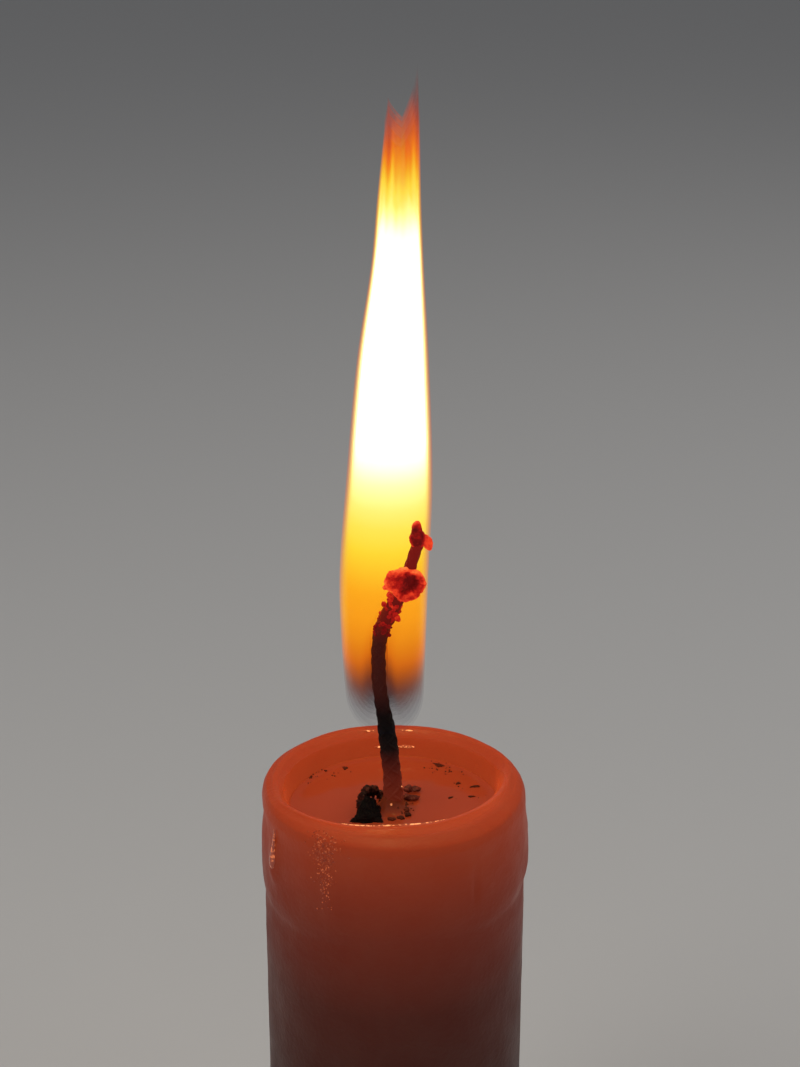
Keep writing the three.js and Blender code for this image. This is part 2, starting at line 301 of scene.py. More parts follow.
def wax_material():
    made, tree, shader = material(
        "set_wax", 0.42, Subsurface_Weight=0.35, Subsurface_Scale=0.004,
        Subsurface_Radius=SCATTER_COLOURS, Specular_IOR_Level=0.24, Emission_Strength=1.0)
    skin = place_wax_skin(tree, 260.0, 2600.0)
    share = height_share(tree, BASE, RIM_TOP)
    cloudy = share_of(tree, skin["Cloud"], 0.3, 0.7, 0.0, 0.35)
    base = mix(tree, cloudy, ramp(tree, share, WAX_DYE_AND_PAINTED_LIGHT), (0.42, 0.12, 0.06, 1), "SOFT_LIGHT")
    dry = share_of(tree, skin["Cloud"], 0.3, 0.7, 0.34, 0.52)
    within = share_of(tree, from_middle(tree), WET_REACH, DRY_REACH, 1.0, 0.0)
    painted_cup_glow = mix(tree, within, (0, 0, 0, 1), PAINTED_CUP_GLOW)
    # The base colour carries painted light and shade. The emission is a painted glow of the flame's
    # light, with more on the cup's wet wall.
    feed(shader, Base_Color=base,
         Roughness=mix(tree, within, dry, (WET_ROUGHNESS, WET_ROUGHNESS, WET_ROUGHNESS, 1)),
         Emission_Color=mix(tree, 1.0, ramp(tree, share, PAINTED_FLAME_GLOW), painted_cup_glow, "ADD"),
         Normal=bump(tree, skin["Height"], 0.35, 0.00012))
    return made


SET_WAX = wax_material()

ROUND_SIDES = 288
BODY_RADIUS = 11.3
COLLAR_RADIUS = 11.55
CREST_RADIUS = 10.45
LIP_RADIUS = 9.5
LIP_PINCH = 2.1  # the rim stands further in at the front than at the back
PINCH_BEARING = math.radians(-70)
LEFT_SPREAD = 0.3  # the rim leans out on the left
RIM_START, RIM_FULL = -2.4, 0.6  # heights between which the rim's own shape comes in
COLLAR_START, COLLAR_FULL = -9.5, -7.5  # and the collar's
POOL_LEVEL = -1.8
POOL_RADIUS = 9.05
BORE_RADIUS = 0.75

# The stub's outline as [radius, height, steps to the next point].
WAX_OUTLINE = [
    (BORE_RADIUS, BASE, 2), (9.2, BASE, 2), (10.7, BASE, 3), (11.1, -59.8, 3),
    (BODY_RADIUS, -59.4, 6), (BODY_RADIUS, -40.0, 10), (BODY_RADIUS, -20.0, 14),
    (BODY_RADIUS, -10.5, 6), (BODY_RADIUS, -8.6, 6), (11.45, -7.9, 4),
    (COLLAR_RADIUS, -7.0, 8), (COLLAR_RADIUS, -5.2, 8), (11.5, -3.4, 8),
    (11.28, -1.6, 6), (11.22, -0.4, 5), (11.0, 0.35, 5), (10.75, 0.78, 5),
    (CREST_RADIUS, 1.0, 5), (10.0, 0.88, 5), (LIP_RADIUS, 0.3, 5), (9.3, -0.6, 5),
    (POOL_RADIUS, POOL_LEVEL, 4), (8.3, -3.0, 4), (6.2, -3.7, 4), (3.6, -4.1, 3),
    (BORE_RADIUS, -4.3, 3),
]


def bend(start, lead, end, tail, t):
    """A smooth curve from start to end that leaves along lead and arrives along tail."""
    return (start * (2 * t ** 3 - 3 * t ** 2 + 1) + lead * (t ** 3 - 2 * t ** 2 + t)
            + end * (3 * t ** 2 - 2 * t ** 3) + tail * (t ** 3 - t ** 2))


def spread_outline(outline):
    """Fills in an outline with a smooth curve through its points."""
    points = [Vector((r, z)) for r, z, _ in outline]
    filled = []
    for i, (_, _, steps) in enumerate(outline[:-1]):
        before = points[max(0, i - 1)]
        start, end = points[i], points[i + 1]
        after = points[min(len(points) - 1, i + 2)]
        span = (end - start).length
        lead = (end - before) * min(1.0, span / max((end - before).length, 1e-6)) * 0.5
        tail = (after - start) * min(1.0, span / max((after - start).length, 1e-6)) * 0.5
        filled += [bend(start, lead, end, tail, step / steps) for step in range(steps)]
    filled.append(points[-1])
    return filled


# Drips and hollows: degrees round, height, half width in degrees, half height, how proud.
DRIPS = [
    (-151, -3.1, 4.5, 1.5, 0.34), (-151, -4.5, 3.4, 0.75, 0.26), (-128, -2.4, 7, 2.8, 0.18),
    (-117, -4.6, 5, 3.4, 0.16), (-54, -4.2, 1.2, 1.6, -0.16), (-17, -6.4, 12, 1.6, 0.14),
    (38, -4.0, 9, 3.2, 0.2), (112, -5.2, 7, 3.4, 0.26),
]


def rim_wave(turn):
    return 0.06 * math.sin(3 * turn + 0.7) + 0.03 * math.sin(7 * turn)


def pinch_share(turn):
    """How strongly the rim is pulled in: 1 at the pinch's bearing, 0 on the far side."""
    return max(0.0, math.cos(turn - PINCH_BEARING)) ** 1.2


def wall_inset(turn, height):
    """How far the cup's wall stands in from a true circle."""
    return ease(-3.1, -0.4, height) * LIP_PINCH * pinch_share(turn)


def rim_inset(turn, radius):
    """The same pull on the top of the rim, fading out by the time it reaches the side."""
    return LIP_PINCH * pinch_share(turn) * (1 - ease(CREST_RADIUS - 0.1, 11.05, radius))


def shape_wax(radius, height, turn):
    """Where a point of the turned outline ends up once the melt has shaped it."""
    if radius < BORE_RADIUS + 0.05:
        return radius, height
    bearing = math.degrees(turn)
    near_rim = ease(RIM_START, RIM_FULL, height)
    new_radius, new_height = radius, height
    if radius > CREST_RADIUS + 0.2:
        collar = ease(COLLAR_START, COLLAR_FULL, height)
        proud = sum(p * bell(angle_gap(bearing, a), 0, w) * bell(height, z, h)
                    for a, z, w, h, p in DRIPS)
        # At the front the collar is nearly flush with the stub.
        flush = 0.8 * bell(angle_gap(bearing, -88), 0, 42) * (1 - ease(-3.4, -1.6, height))
        new_radius = BODY_RADIUS + (radius - BODY_RADIUS) * (1 - flush)
        new_radius += collar * (proud + 0.06 * math.sin(7 * turn + 0.6) * (1 - flush))
        new_radius -= rim_inset(turn, radius) * near_rim
        new_radius += LEFT_SPREAD * max(0.0, -math.cos(turn)) ** 2 * near_rim
        # The collar's lower edge wanders up and down.
        edge = ease(-14.0, -8.0, height) * (1 - ease(-6.2, -3.0, height))
        new_height += edge * (0.6 * math.cos(turn) + 0.3 * math.sin(4 * turn + 1.1))
    else:
        new_radius -= wall_inset(turn, height)
    new_height += rim_wave(turn) * near_rim
    if height > BASE + 1:
        spot = Vector((math.cos(turn) * radius, math.sin(turn) * radius, height))
        new_radius += 0.035 * noise.noise(spot * 0.55) + 0.018 * noise.noise(spot * 1.7)
    return new_radius, new_height


outline = spread_outline(WAX_OUTLINE)
wax_points = []
for spot in outline:
    for turn in turns(ROUND_SIDES):
        radius, height = shape_wax(spot.x, spot.y, turn)
        wax_points.append((radius * math.cos(turn), radius * math.sin(turn), height))
wax_body = new_piece("wax_stub", wax_points,
                     ring_faces(len(outline), ROUND_SIDES, closed=True), SET_WAX)
outward(wax_body)
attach(wax_body, "root")
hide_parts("wax_body")

# ------------------------------------------------------------------------------------------
# Pool of liquid wax. It fills the cup from wall to wall, climbs a little at the wall, and stands
# up round the wick's foot, where it soaks into the braid.


def pool_material():
    made, tree, shader = material(
        "liquid_wax", 0.10, Subsurface_Weight=0.25, Subsurface_Scale=0.003,
        Subsurface_Radius=SCATTER_COLOURS, Specular_IOR_Level=0.18, Coat_Weight=0.05,
        Coat_Roughness=0.05, Emission_Strength=1.0)
    skin = place_wax_skin(tree, 190.0, 1200.0)
    share = share_of(tree, from_middle(tree), 0.0, WET_REACH)
    shade = ramp(tree, share, [
        (0.0, (0.060, 0.022, 0.014)), (0.11, (0.090, 0.022, 0.012)),
        (0.22, (0.185, 0.028, 0.010)), (1.0, (0.215, 0.031, 0.010))])
    # Emission: painted light of the flame on the liquid, dimmer near the wick's foot.
    glow = ramp(tree, share, [
        (0.0, (0.020, 0.003, 0.001)), (0.11, (0.040, 0.005, 0.001)),
        (0.24, (0.110, 0.012, 0.003)), (1.0, (0.140, 0.016, 0.004))])
    feed(shader, Base_Color=mix(tree, 0.3, shade, (0.20, 0.030, 0.010, 1)), Emission_Color=glow,
         Normal=bump(tree, skin["Cloud"], 0.08, 0.0002))
    return made


LIQUID_WAX = pool_material()
WICK_FOOT, FOOT_RADIUS = (-0.17, 0.0), 0.7
MENISCUS_HEIGHT, MENISCUS_REACH = 1.7, 0.36  # how the liquid climbs the wick's foot
WALL_CLIMB, WALL_REACH = 0.35, 0.04  # and the cup's wall, the reach as a share of the radius
POOL_OVERLAP = 0.06  # how far the liquid runs into the set wax
POOL_RINGS = 90
POOL_SIDE_DROP, POOL_FLOOR_DROP = 0.5, 0.9


def pool_wall(turn):
    """Where the liquid meets the cup's wall, just inside the set wax."""
    return POOL_RADIUS + POOL_OVERLAP - wall_inset(turn, POOL_LEVEL)


def pool_height(x, y, share):
    """The liquid's level at a place, and at a share of the way from the middle to the wall."""
    from_wick = math.hypot(x - WICK_FOOT[0], y - WICK_FOOT[1])
    climb = MENISCUS_HEIGHT * math.exp(-max(0.0, from_wick - FOOT_RADIUS) / MENISCUS_REACH)
    wall = WALL_CLIMB * math.exp(-(1 - share) / WALL_REACH)
    ripple = 0.02 * noise.noise(Vector((x * 0.5, y * 0.5, 3.0)))
    return POOL_LEVEL + climb + wall + ripple


def capped_rings(rings, sides):
    """Quads between rings of points, with a flat face that closes each end."""
    last = (rings - 1) * sides
    caps = [tuple(reversed(range(sides))), tuple(range(last, last + sides))]
    return ring_faces(rings, sides) + caps


pool_points = []
for ring in range(1, POOL_RINGS + 1):
    share = ring / POOL_RINGS
    for turn in turns(ROUND_SIDES):
        reach = pool_wall(turn) * share
        x, y = reach * math.cos(turn), reach * math.sin(turn)
        pool_points.append((x, y, pool_height(x, y, share)))
for share, drop in ((1.0, POOL_SIDE_DROP), (0.97, POOL_FLOOR_DROP), (0.01, POOL_FLOOR_DROP)):
    for turn in turns(ROUND_SIDES):
        reach = pool_wall(turn) * share
        pool_points.append((reach * math.cos(turn), reach * math.sin(turn), POOL_LEVEL - drop))
pool = new_piece("pool_of_wax", pool_points, capped_rings(POOL_RINGS + 3, ROUND_SIDES),
                 LIQUID_WAX)
outward(pool)
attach(pool, "root")
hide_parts("molten_pool")

# ------------------------------------------------------------------------------------------
# Wick. A braid of cotton strands that runs through the stub. It is soaked and reddish at its
# foot, black where it chars, and dull red where it glows near its curled end.

WICK_ROUTE = [
    (0, 0, -59.7), (0, 0, -40), (0, 0, -20), (0, 0, -6), (-0.1, 0, -1.5), (-0.15, 0, 0.7),
    (-0.34, -0.1, 2.8), (-0.72, -0.3, 6.3), (-1.23, -0.6, 9.9), (-1.32, -0.9, 12.7),
    (-1.25, -1.2, 14.4), (-0.95, -1.6, 15.9), (-0.4, -2.0, 17.3), (0.3, -2.5, 18.9),
    (0.95, -2.9, 20.6), (1.5, -3.2, 22.6), (1.95, -3.45, 24.2),
]


def smooth_route(points, steps):
    """A smooth curve through points, as points close together."""
    spots = [Vector(p) for p in points]
    route = []
    for i in range(len(spots) - 1):
        a, b = spots[max(0, i - 1)], spots[i]
        c, d = spots[i + 1], spots[min(len(spots) - 1, i + 2)]
        for step in range(steps):
            t = step / steps
            route.append(0.5 * (2 * b + (c - a) * t + (2 * a - 5 * b + 4 * c - d) * t * t
                                + (3 * b - a - 3 * c + d) * t ** 3))
    route.append(spots[-1])
    return route


def wick_radius(height):
    """Thick and soaked low down, slimmer above, swollen where it curls and thin at its end."""
    slim = 0.62 + 0.18 * ease(9.0, 4.5, height)
    foot = 0.14 * ease(1.5, -1.5, height)
    return slim + foot + 0.06 * bell(height, 17, 1.3) - 0.12 * ease(19, 22, height)


def wick_material():
    made, tree, shader = material("burnt_braid", 0.8, Specular_IOR_Level=0.18,
                                  Emission_Strength=1.0)
    share = height_share(tree, -2.5, 25)
    shade = ramp(tree, share, [
        (0.0, (0.120, 0.028, 0.014)), (0.145, (0.085, 0.020, 0.013)),
        (0.195, (0.055, 0.014, 0.010)), (0.245, (0.014, 0.009, 0.008)),
        (0.30, (0.005, 0.005, 0.005)), (0.40, (0.008, 0.005, 0.005)),
        (0.46, (0.022, 0.008, 0.006)), (0.63, (0.024, 0.008, 0.006)),
        (0.70, (0.050, 0.006, 0.005)), (1.0, (0.060, 0.006, 0.005))])
    # Emission: a painted glow of the flame's light on the soaked foot, fading by 4 mm up, and a
    # faint painted glow where the flame stands in front of the wick. From about 15 mm up it is the
    # wick's own dull red glow.
    glow = ramp(tree, share, [
        (0.0, (0.080, 0.007, 0.002)), (0.145, (0.050, 0.004, 0.0015)),
        (0.195, (0.025, 0.002, 0.001)), (0.245, (0.0, 0.0, 0.0)), (0.36, (0.0, 0.0, 0.0)),
        (0.44, (0.022, 0.003, 0.002)), (0.62, (0.030, 0.003, 0.002)),
        (0.70, (0.090, 0.003, 0.002)), (1.0, (0.160, 0.005, 0.003))])
    fibre = speckle(tree, 5200.0, 5.0, 0.7)
    ash = share_of(tree, fibre, 0.55, 0.8, 0.0, 0.25)
    feed(shader, Base_Color=mix(tree, ash, shade, (0.10, 0.035, 0.022, 1)), Emission_Color=glow,
         Roughness=share_of(tree, share, 0.0, 0.2, 0.25, 0.85),
         Normal=bump(tree, fibre, 0.6, 0.00008))
    return made


BURNT_BRAID = wick_material()
CORE_SIDES = 20
CORE_SHARE = 0.93  # the core's share of the wick's radius; the strands stand out from it
route = smooth_route(WICK_ROUTE, 10)


def rod_along(line, radius_at, sides):
    """Points and faces of a closed rod along a line, its rings turned as little as possible."""
    points = []
    across = Vector((1, 0, 0))
    for i, spot in enumerate(line):
        ahead = (line[min(i + 1, len(line) - 1)] - line[max(i - 1, 0)]).normalized()
        across = (across - ahead * across.dot(ahead)).normalized()
        over = ahead.cross(across)
        for turn in turns(sides):
            offset = across * math.cos(turn) + over * math.sin(turn)
            points.append(tuple(spot + offset * radius_at(spot.z)))
    return points, capped_rings(len(line), sides)


core_points, core_faces = rod_along(route, lambda z: CORE_SHARE * wick_radius(z), CORE_SIDES)
wick_core = new_piece("wick_core", core_points, core_faces, BURNT_BRAID)
outward(wick_core)


def geometry_tree(name, source, result, inputs):
    """A new Geometry Nodes tree with named inputs, as (name, kind): returns it and its inputs."""
    tree = bpy.data.node_groups.new(name, "GeometryNodeTree")
    for label, kind in ((source, "Geometry"), *inputs, ("Finish", "Material")):
        tree.interface.new_socket(label, in_out="INPUT", socket_type="NodeSocket" + kind)
    tree.interface.new_socket(result, in_out="OUTPUT", socket_type="NodeSocketGeometry")
    return tree, node(tree, "NodeGroupInput").outputs


def end_tree(tree, geometry, finish):
    """The last nodes of a tree: everything made real, then painted."""
    real = node(tree, "GeometryNodeRealizeInstances", {"Geometry": geometry}).outputs[0]
    painted = node(tree, "GeometryNodeSetMaterial", {"Geometry": real, "Material": finish})
    node(tree, "NodeGroupOutput", {0: painted.outputs[0]})


def braid_tree():
    """Strands that wind round a line, half of them each way, passing over and under."""
    tree, inside = geometry_tree("braid", "Line", "Braid", [
        ("Strands Each Way", "Int"), ("Turns", "Float"), ("Steps", "Int"), ("Spread", "Float"),
        ("Rise", "Float"), ("Strand Size", "Float")])
    strands = inside["Strands Each Way"]
    joined = node(tree, "GeometryNodeJoinGeometry")

    def work_out(kind, a, b=0.0):
        return node(tree, "ShaderNodeMath", {0: a, 1: b}, operation=kind).outputs[0]

    def vector(kind, a, b):
        return node(tree, "ShaderNodeVectorMath", {0: a, 1: b}, operation=kind).outputs[0]

    def scaled(a, by):
        return node(tree, "ShaderNodeVectorMath", {0: a, "Scale": by},
                    operation="SCALE").outputs[0]

    for way in (1.0, -1.0):
        seeds = node(tree, "GeometryNodePoints", {"Count": strands})
        strand = node(tree, "GeometryNodeCurvePrimitiveLine", {"End": (0, 0, 1)})
        fine = node(tree, "GeometryNodeResampleCurve", {
            "Curve": strand.outputs[0], "Count": inside["Steps"]})
        copies = node(tree, "GeometryNodeInstanceOnPoints", {
            "Points": seeds.outputs[0], "Instance": fine.outputs[0]})
        number = node(tree, "GeometryNodeInputIndex").outputs[0]
        kept = node(tree, "GeometryNodeStoreNamedAttribute", {
            "Geometry": copies.outputs[0], "Name": "strand_number", "Value": number},
            data_type="FLOAT", domain="INSTANCE")
        real = node(tree, "GeometryNodeRealizeInstances", {"Geometry": kept.outputs[0]})
        own = node(tree, "GeometryNodeInputNamedAttribute", {"Name": "strand_number"},
                   data_type="FLOAT").outputs[0]
        along = node(tree, "GeometryNodeSplineParameter").outputs["Factor"]
        sample = node(tree, "GeometryNodeSampleCurve", {
            "Curves": inside["Line"], "Factor": along}, mode="FACTOR", data_type="FLOAT")
        tree.links.new(node(tree, "GeometryNodeInputRadius").outputs[0], sample.inputs["Value"])
        thickness, middle, ahead, normal = sample.outputs[:4]
        # Where each strand stands round the line, and whether it is over or under just there.
        wound = work_out("MULTIPLY", along, inside["Turns"])
        start = work_out("DIVIDE", own, strands)
        turn = work_out("MULTIPLY", work_out("ADD", work_out("MULTIPLY", wound, way), start),
                        2 * math.pi)
        crossings = work_out("MULTIPLY", work_out("MULTIPLY", wound, strands), 2 * math.pi)
        weave = work_out("SINE", work_out("ADD", crossings, work_out("MULTIPLY", own, math.pi)))
        lift = work_out("MULTIPLY", weave, work_out("MULTIPLY", inside["Rise"], way))
        reach = work_out("MULTIPLY", work_out("ADD", inside["Spread"], lift), thickness)
        across = vector("CROSS_PRODUCT", ahead, normal)
        offset = vector("ADD", scaled(normal, work_out("COSINE", turn)),
                        scaled(across, work_out("SINE", turn)))
        placed = node(tree, "GeometryNodeSetPosition", {
            "Geometry": real.outputs[0],
            "Position": vector("ADD", middle, scaled(offset, reach))})
        section = node(tree, "GeometryNodeCurvePrimitiveCircle", {"Resolution": 6, "Radius": 1.0})
        tube = node(tree, "GeometryNodeCurveToMesh", {
            "Curve": placed.outputs[0], "Profile Curve": section.outputs[0],
            "Scale": work_out("MULTIPLY", thickness, inside["Strand Size"]), "Fill Caps": True})
        tree.links.new(tube.outputs[0], joined.inputs[0])
    smooth = node(tree, "GeometryNodeSetShadeSmooth", {"Geometry": joined.outputs[0]})
    end_tree(tree, smooth.outputs[0], inside["Finish"])
    return tree


def applied(source):
    """A plain mesh of an object with its modifiers worked out."""
    graph = bpy.context.evaluated_depsgraph_get()
    return bpy.data.meshes.new_from_object(source.evaluated_get(graph))


def grown(name, source, tree, **inputs):
    """Runs a Geometry Nodes tree on an object and returns the result as a plain mesh piece."""
    modifier = source.modifiers.new(name, "NODES")
    modifier.node_group = tree
    for item in tree.interface.items_tree:
        key = item.name.replace(" ", "_")
        if item.in_out == "INPUT" and key in inputs:
            modifier[item.identifier] = inputs[key]
    bpy.context.view_layer.update()
    mesh = applied(source)
    mesh.name = name
    source.modifiers.remove(modifier)
    return add_object(name, mesh)


def line_object(name, points, radius_at):
    """A poly curve through points in millimetres, carrying a radius at each."""
    curve = bpy.data.curves.new(name, "CURVE")
    curve.dimensions = "3D"
    spline = curve.splines.new("POLY")
    spline.points.add(len(points) - 1)
    for target, spot in zip(spline.points, points):
        target.co = (spot.x * MM, spot.y * MM, level(spot.z), 1)
        target.radius = radius_at(spot.z) * MM
    return add_object(name, curve)


BRAID_START = -3.0  # below this the braid can't be seen, and the plain core stands for it
braid_line = line_object("braid_line", [spot for spot in route if spot.z > BRAID_START],
                         wick_radius)
braid = grown("wick_braid", braid_line, braid_tree(), Strands_Each_Way=4, Turns=5.5, Steps=300,
              Spread=0.79, Rise=0.04, Strand_Size=0.22, Finish=BURNT_BRAID)
bpy.data.objects.remove(braid_line)
for piece in (wick_core, braid):
    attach(piece, "root")
    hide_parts("wick")

# ------------------------------------------------------------------------------------------
# Carbon on the wick. Soot that has grown into a shallow two-lobed bowl in front of the wick, a
# hooked lump on its very tip, and crust and nodules where the wick begins to curl. It glows.


def ball(middle, half):
    """Points and faces of an egg shape, in millimetres."""
    work = bmesh.new()
    bmesh.ops.create_icosphere(work, subdivisions=4, radius=1.0)
    points = [(middle[0] + v.co.x * half[0], middle[1] + v.co.y * half[1],
               middle[2] + v.co.z * half[2]) for v in work.verts]
    faces = [tuple(v.index for v in face.verts) for face in work.faces]
    work.free()
    return points, faces


def joined(shapes):
    """Several (points, faces) shapes as one."""
    points, faces = [], []
    for more_points, more_faces in shapes:
        start = len(points)
        points += more_points
        faces += [tuple(start + i for i in face) for face in more_faces]
    return points, faces


def crusty(name, shapes, finish, voxel, grit, grain, pitting=7.0, warmth_at=None):
    """Shapes fused into one skin and roughened. warmth_at gives each point's share of glow."""
    points, faces = joined(shapes)
    mesh = bpy.data.meshes.new(name)
    mesh.from_pydata(points, [], faces)
    source = add_object(name + "_rough", mesh)
    fuse = source.modifiers.new("fuse", "REMESH")
    fuse.mode = "VOXEL"
    fuse.voxel_size = voxel
    skin = applied(source)
    bpy.data.objects.remove(source)
    normals = [corner.normal.copy() for corner in skin.vertices]
    warmths = []
    for corner, normal in zip(skin.vertices, normals):
        spot = corner.co.copy()
        rough = noise.fractal(spot * grain, 0.6, 2.1, 4) + 0.35 * noise.noise(spot * pitting)
        if warmth_at:
            warmths.append(warmth_at(spot) + 0.08 * rough)
        spot += normal * grit * rough
        corner.co = (spot.x * MM, spot.y * MM, level(spot.z))
    if warmth_at:
        skin.attributes.new("warmth", "FLOAT", "POINT").data.foreach_set("value", warmths)
    skin.materials.clear()
    skin.materials.append(finish)
    piece = add_object(name, skin)
    outward(piece)
    return piece


def ember_material():
    """Carbon that is black-red where its warmth is 0 and glows pale orange where it is 1."""
    made, tree, shader = material("glowing_carbon", 0.8, Specular_IOR_Level=0.1,
                                  Emission_Strength=1.0)
    warmth = node(tree, "ShaderNodeAttribute", attribute_name="warmth").outputs["Fac"]
    clump = speckle(tree, 2200.0, 5.0, 0.7)
    shift = node(tree, "ShaderNodeMath", {0: clump, 1: 0.5}, operation="SUBTRACT").outputs[0]
    uneven = node(tree, "ShaderNodeMath", {0: shift, 1: 0.7, 2: warmth},
                  operation="MULTIPLY_ADD", use_clamp=True).outputs[0]
    shade = ramp(tree, uneven, [
        (0.0, (0.010, 0.002, 0.002)), (0.6, (0.045, 0.005, 0.004)), (1.0, (0.110, 0.018, 0.010))])
    glow = ramp(tree, uneven, [
        (0.0, (0.040, 0.001, 0.001)), (0.35, (0.110, 0.0027, 0.0027)),
        (0.6, (0.400, 0.008, 0.005)), (0.8, (0.820, 0.048, 0.014)), (1.0, (0.980, 0.170, 0.036))])
    feed(shader, Base_Color=shade, Emission_Color=glow, Normal=bump(tree, clump, 0.8, 0.00012))
    return made


EMBER = ember_material()

# Each lobe of the bowl: middle across, middle up, reach, how far its lip folds forward.
BOWL_LOBES = [(1.06, 20.56, 1.46, 0.62), (0.12, 20.84, 0.96, 0.30)]
BOWL_FRONT = -3.75
BOWL_SIDES = 96
# Share of the reach against how far behind the lip, going from the bowl's middle over its lip
# to the middle of its back.
BOWL_SECTION = [
    (0.0, 0.62), (0.25, 0.58), (0.45, 0.46), (0.62, 0.25), (0.76, 0.02), (0.88, -0.10),
    (0.97, -0.02), (1.0, 0.18), (0.96, 0.42), (0.84, 0.68), (0.62, 0.92), (0.34, 1.05), (0.0, 1.1),
]


def bowl(across, up, reach, fold, seed):
    """A frilled bowl that opens to the front."""
    points = []
    for share, behind in BOWL_SECTION:
        for turn in turns(BOWL_SIDES):
            frill = (1 + 0.05 * math.sin(3 * turn + seed) + 0.03 * math.sin(7 * turn + 2 * seed)
                     + 0.02 * math.sin(12 * turn + seed))
            pleat = 0.07 * share * math.sin(15 * turn + 3 * math.sin(2 * turn + seed))
            distance = reach * share * frill
            points.append((across + distance * math.cos(turn),
                           BOWL_FRONT + behind * fold / BOWL_SECTION[0][1] + pleat * reach,
                           up + distance * math.sin(turn)))
    return points, ring_faces(len(BOWL_SECTION), BOWL_SIDES)


def bowl_warmth_and_highlights(spot):
    """Cold in each lobe's middle, hot on its lip, the left lobe hotter, and with painted
    highlights.
    """
    main_share, left_share = [math.hypot(spot.x - across, spot.z - up) / reach
                              for across, up, reach, _ in BOWL_LOBES]
    main = 0.34 + 0.26 * ease(0.35, 0.8, main_share) + 0.2 * ease(0.8, 1.05, main_share)
    main += 0.2 * ease(21.2, 21.8, spot.z)  # a painted highlight on its upper edge
    main += 0.3 * bell(spot.x, 1.3, 0.35) * bell(spot.z, 19.85, 0.3)  # a painted highlight low down
    left = 0.58 + 0.26 * ease(0.4, 1.0, left_share)
    front = 1 - ease(0.1, 0.6, spot.y - BOWL_FRONT)
    lean = ease(-0.1, 0.5, left_share - main_share)
    return (left + (main - left) * lean) * (0.55 + 0.45 * front)


cap = crusty("carbon_bowl", [
    bowl(*BOWL_LOBES[0], 0.8), bowl(*BOWL_LOBES[1], 2.4),
    ball((-0.72, -3.55, 20.25), (0.22, 0.2, 0.2)), ball((1.05, -3.5, 19.35), (0.7, 0.3, 0.3)),
    ball((1.2, -3.0, 21.1), (0.5, 0.6, 1.0))],
    EMBER, voxel=0.05, grit=0.035, grain=2.4, pitting=6.0, warmth_at=bowl_warmth_and_highlights)
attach(cap, "root")
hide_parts("carbon_cap")


def tip_warmth(spot):
    """Cold in the body of the lump, hot at its edges and on the hooked ear."""
    share = math.hypot((spot.x - 1.85) / 0.68, (spot.z - 24.75) / 1.2)
    return 0.36 + 0.38 * ease(0.6, 1.05, share) + 0.08 * ease(2.35, 2.9, spot.x)


tip = crusty("carbon_end", [
    ball((1.80, -3.55, 25.15), (0.42, 0.40, 0.86)), ball((1.88, -3.55, 24.5), (0.68, 0.48, 0.80)),
    ball((2.32, -3.6, 24.45), (0.52, 0.42, 0.44)), ball((2.72, -3.6, 24.15), (0.40, 0.32, 0.52)),
    ball((2.82, -3.6, 23.82), (0.28, 0.26, 0.34))],
    EMBER, voxel=0.045, grit=0.05, grain=2.2, warmth_at=tip_warmth)
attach(tip, "root")
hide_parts("carbon_tip")

NODULE_WARMTH = 0.60
# The nodules sit on the wick itself: [frame name, x, y, z, size].
NODULES = [
    ("left", -0.84, -2.3, 18.25, 0.26), ("upper", -0.40, -2.9, 19.35, 0.22),
    ("right", 0.22, -2.3, 17.05, 0.26),
]
for place_name, x, y, z, size in NODULES:
    nodule = crusty("nodule_" + place_name, [
        ball((x, y, z), (size, size, size * 1.1)),
        ball((x + 0.5 * size, y, z - 0.5 * size), (0.6 * size, 0.6 * size, 0.7 * size))],
        EMBER, voxel=0.04, grit=0.07, grain=1.6, warmth_at=lambda spot: NODULE_WARMTH)
    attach(nodule, "root")
    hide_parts("crust_nodule_" + place_name)

CRUST_START, CRUST_END = 15.4, 19.4  # heights that the crust runs between
luck = random.Random(23)
crust_lumps = []
for spot in route:
    if CRUST_START < spot.z < CRUST_END:
        for _ in range(4):
            turn = luck.uniform(0, 2 * math.pi)
            out = wick_radius(spot.z) * luck.uniform(0.8, 1.0)
            size = luck.uniform(0.10, 0.22)
            crust_lumps.append(ball(
                (spot.x + out * math.cos(turn), spot.y + out * math.sin(turn),
                 spot.z + luck.uniform(-0.2, 0.2)), (size, size, size * 0.9)))
crust = crusty("wick_crust", crust_lumps, EMBER, voxel=0.05, grit=0.08, grain=3.0,
               warmth_at=lambda spot: 0.36 + 0.2 * ease(15.5, 18.0, spot.z))
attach(crust, "root")

# ------------------------------------------------------------------------------------------
# Debris in the pool. A black lump of char that fell off the wick, two wax-soaked fins of it, a
# loose crumb, flakes of soot that float on the liquid, and finer soot round them.


def char_material(name, dark, light, roughness):
    made, tree, shader = material(name, roughness, Specular_IOR_Level=0.2)
    clump = speckle(tree, 1400.0, 6.0, 0.7)
    patch = share_of(tree, clump, 0.42, 0.72)
    feed(shader, Base_Color=ramp(tree, patch, [(0.0, dark), (1.0, light)]),
         Normal=bump(tree, clump, 0.8, 0.00012))
    return made


BLACK_CHAR = char_material("black_char", (0.002, 0.0018, 0.0018), (0.009, 0.0045, 0.004), 0.8)
BROWN_CHAR = char_material("brown_char", (0.006, 0.003, 0.003), (0.080, 0.018, 0.010), 0.6)
SOAKED_CHAR = char_material("soaked_char", (0.070, 0.014, 0.010), (0.210, 0.036, 0.020), 0.5)
SOOT = char_material("soot", (0.036, 0.008, 0.004), (0.130, 0.021, 0.009), 0.7)

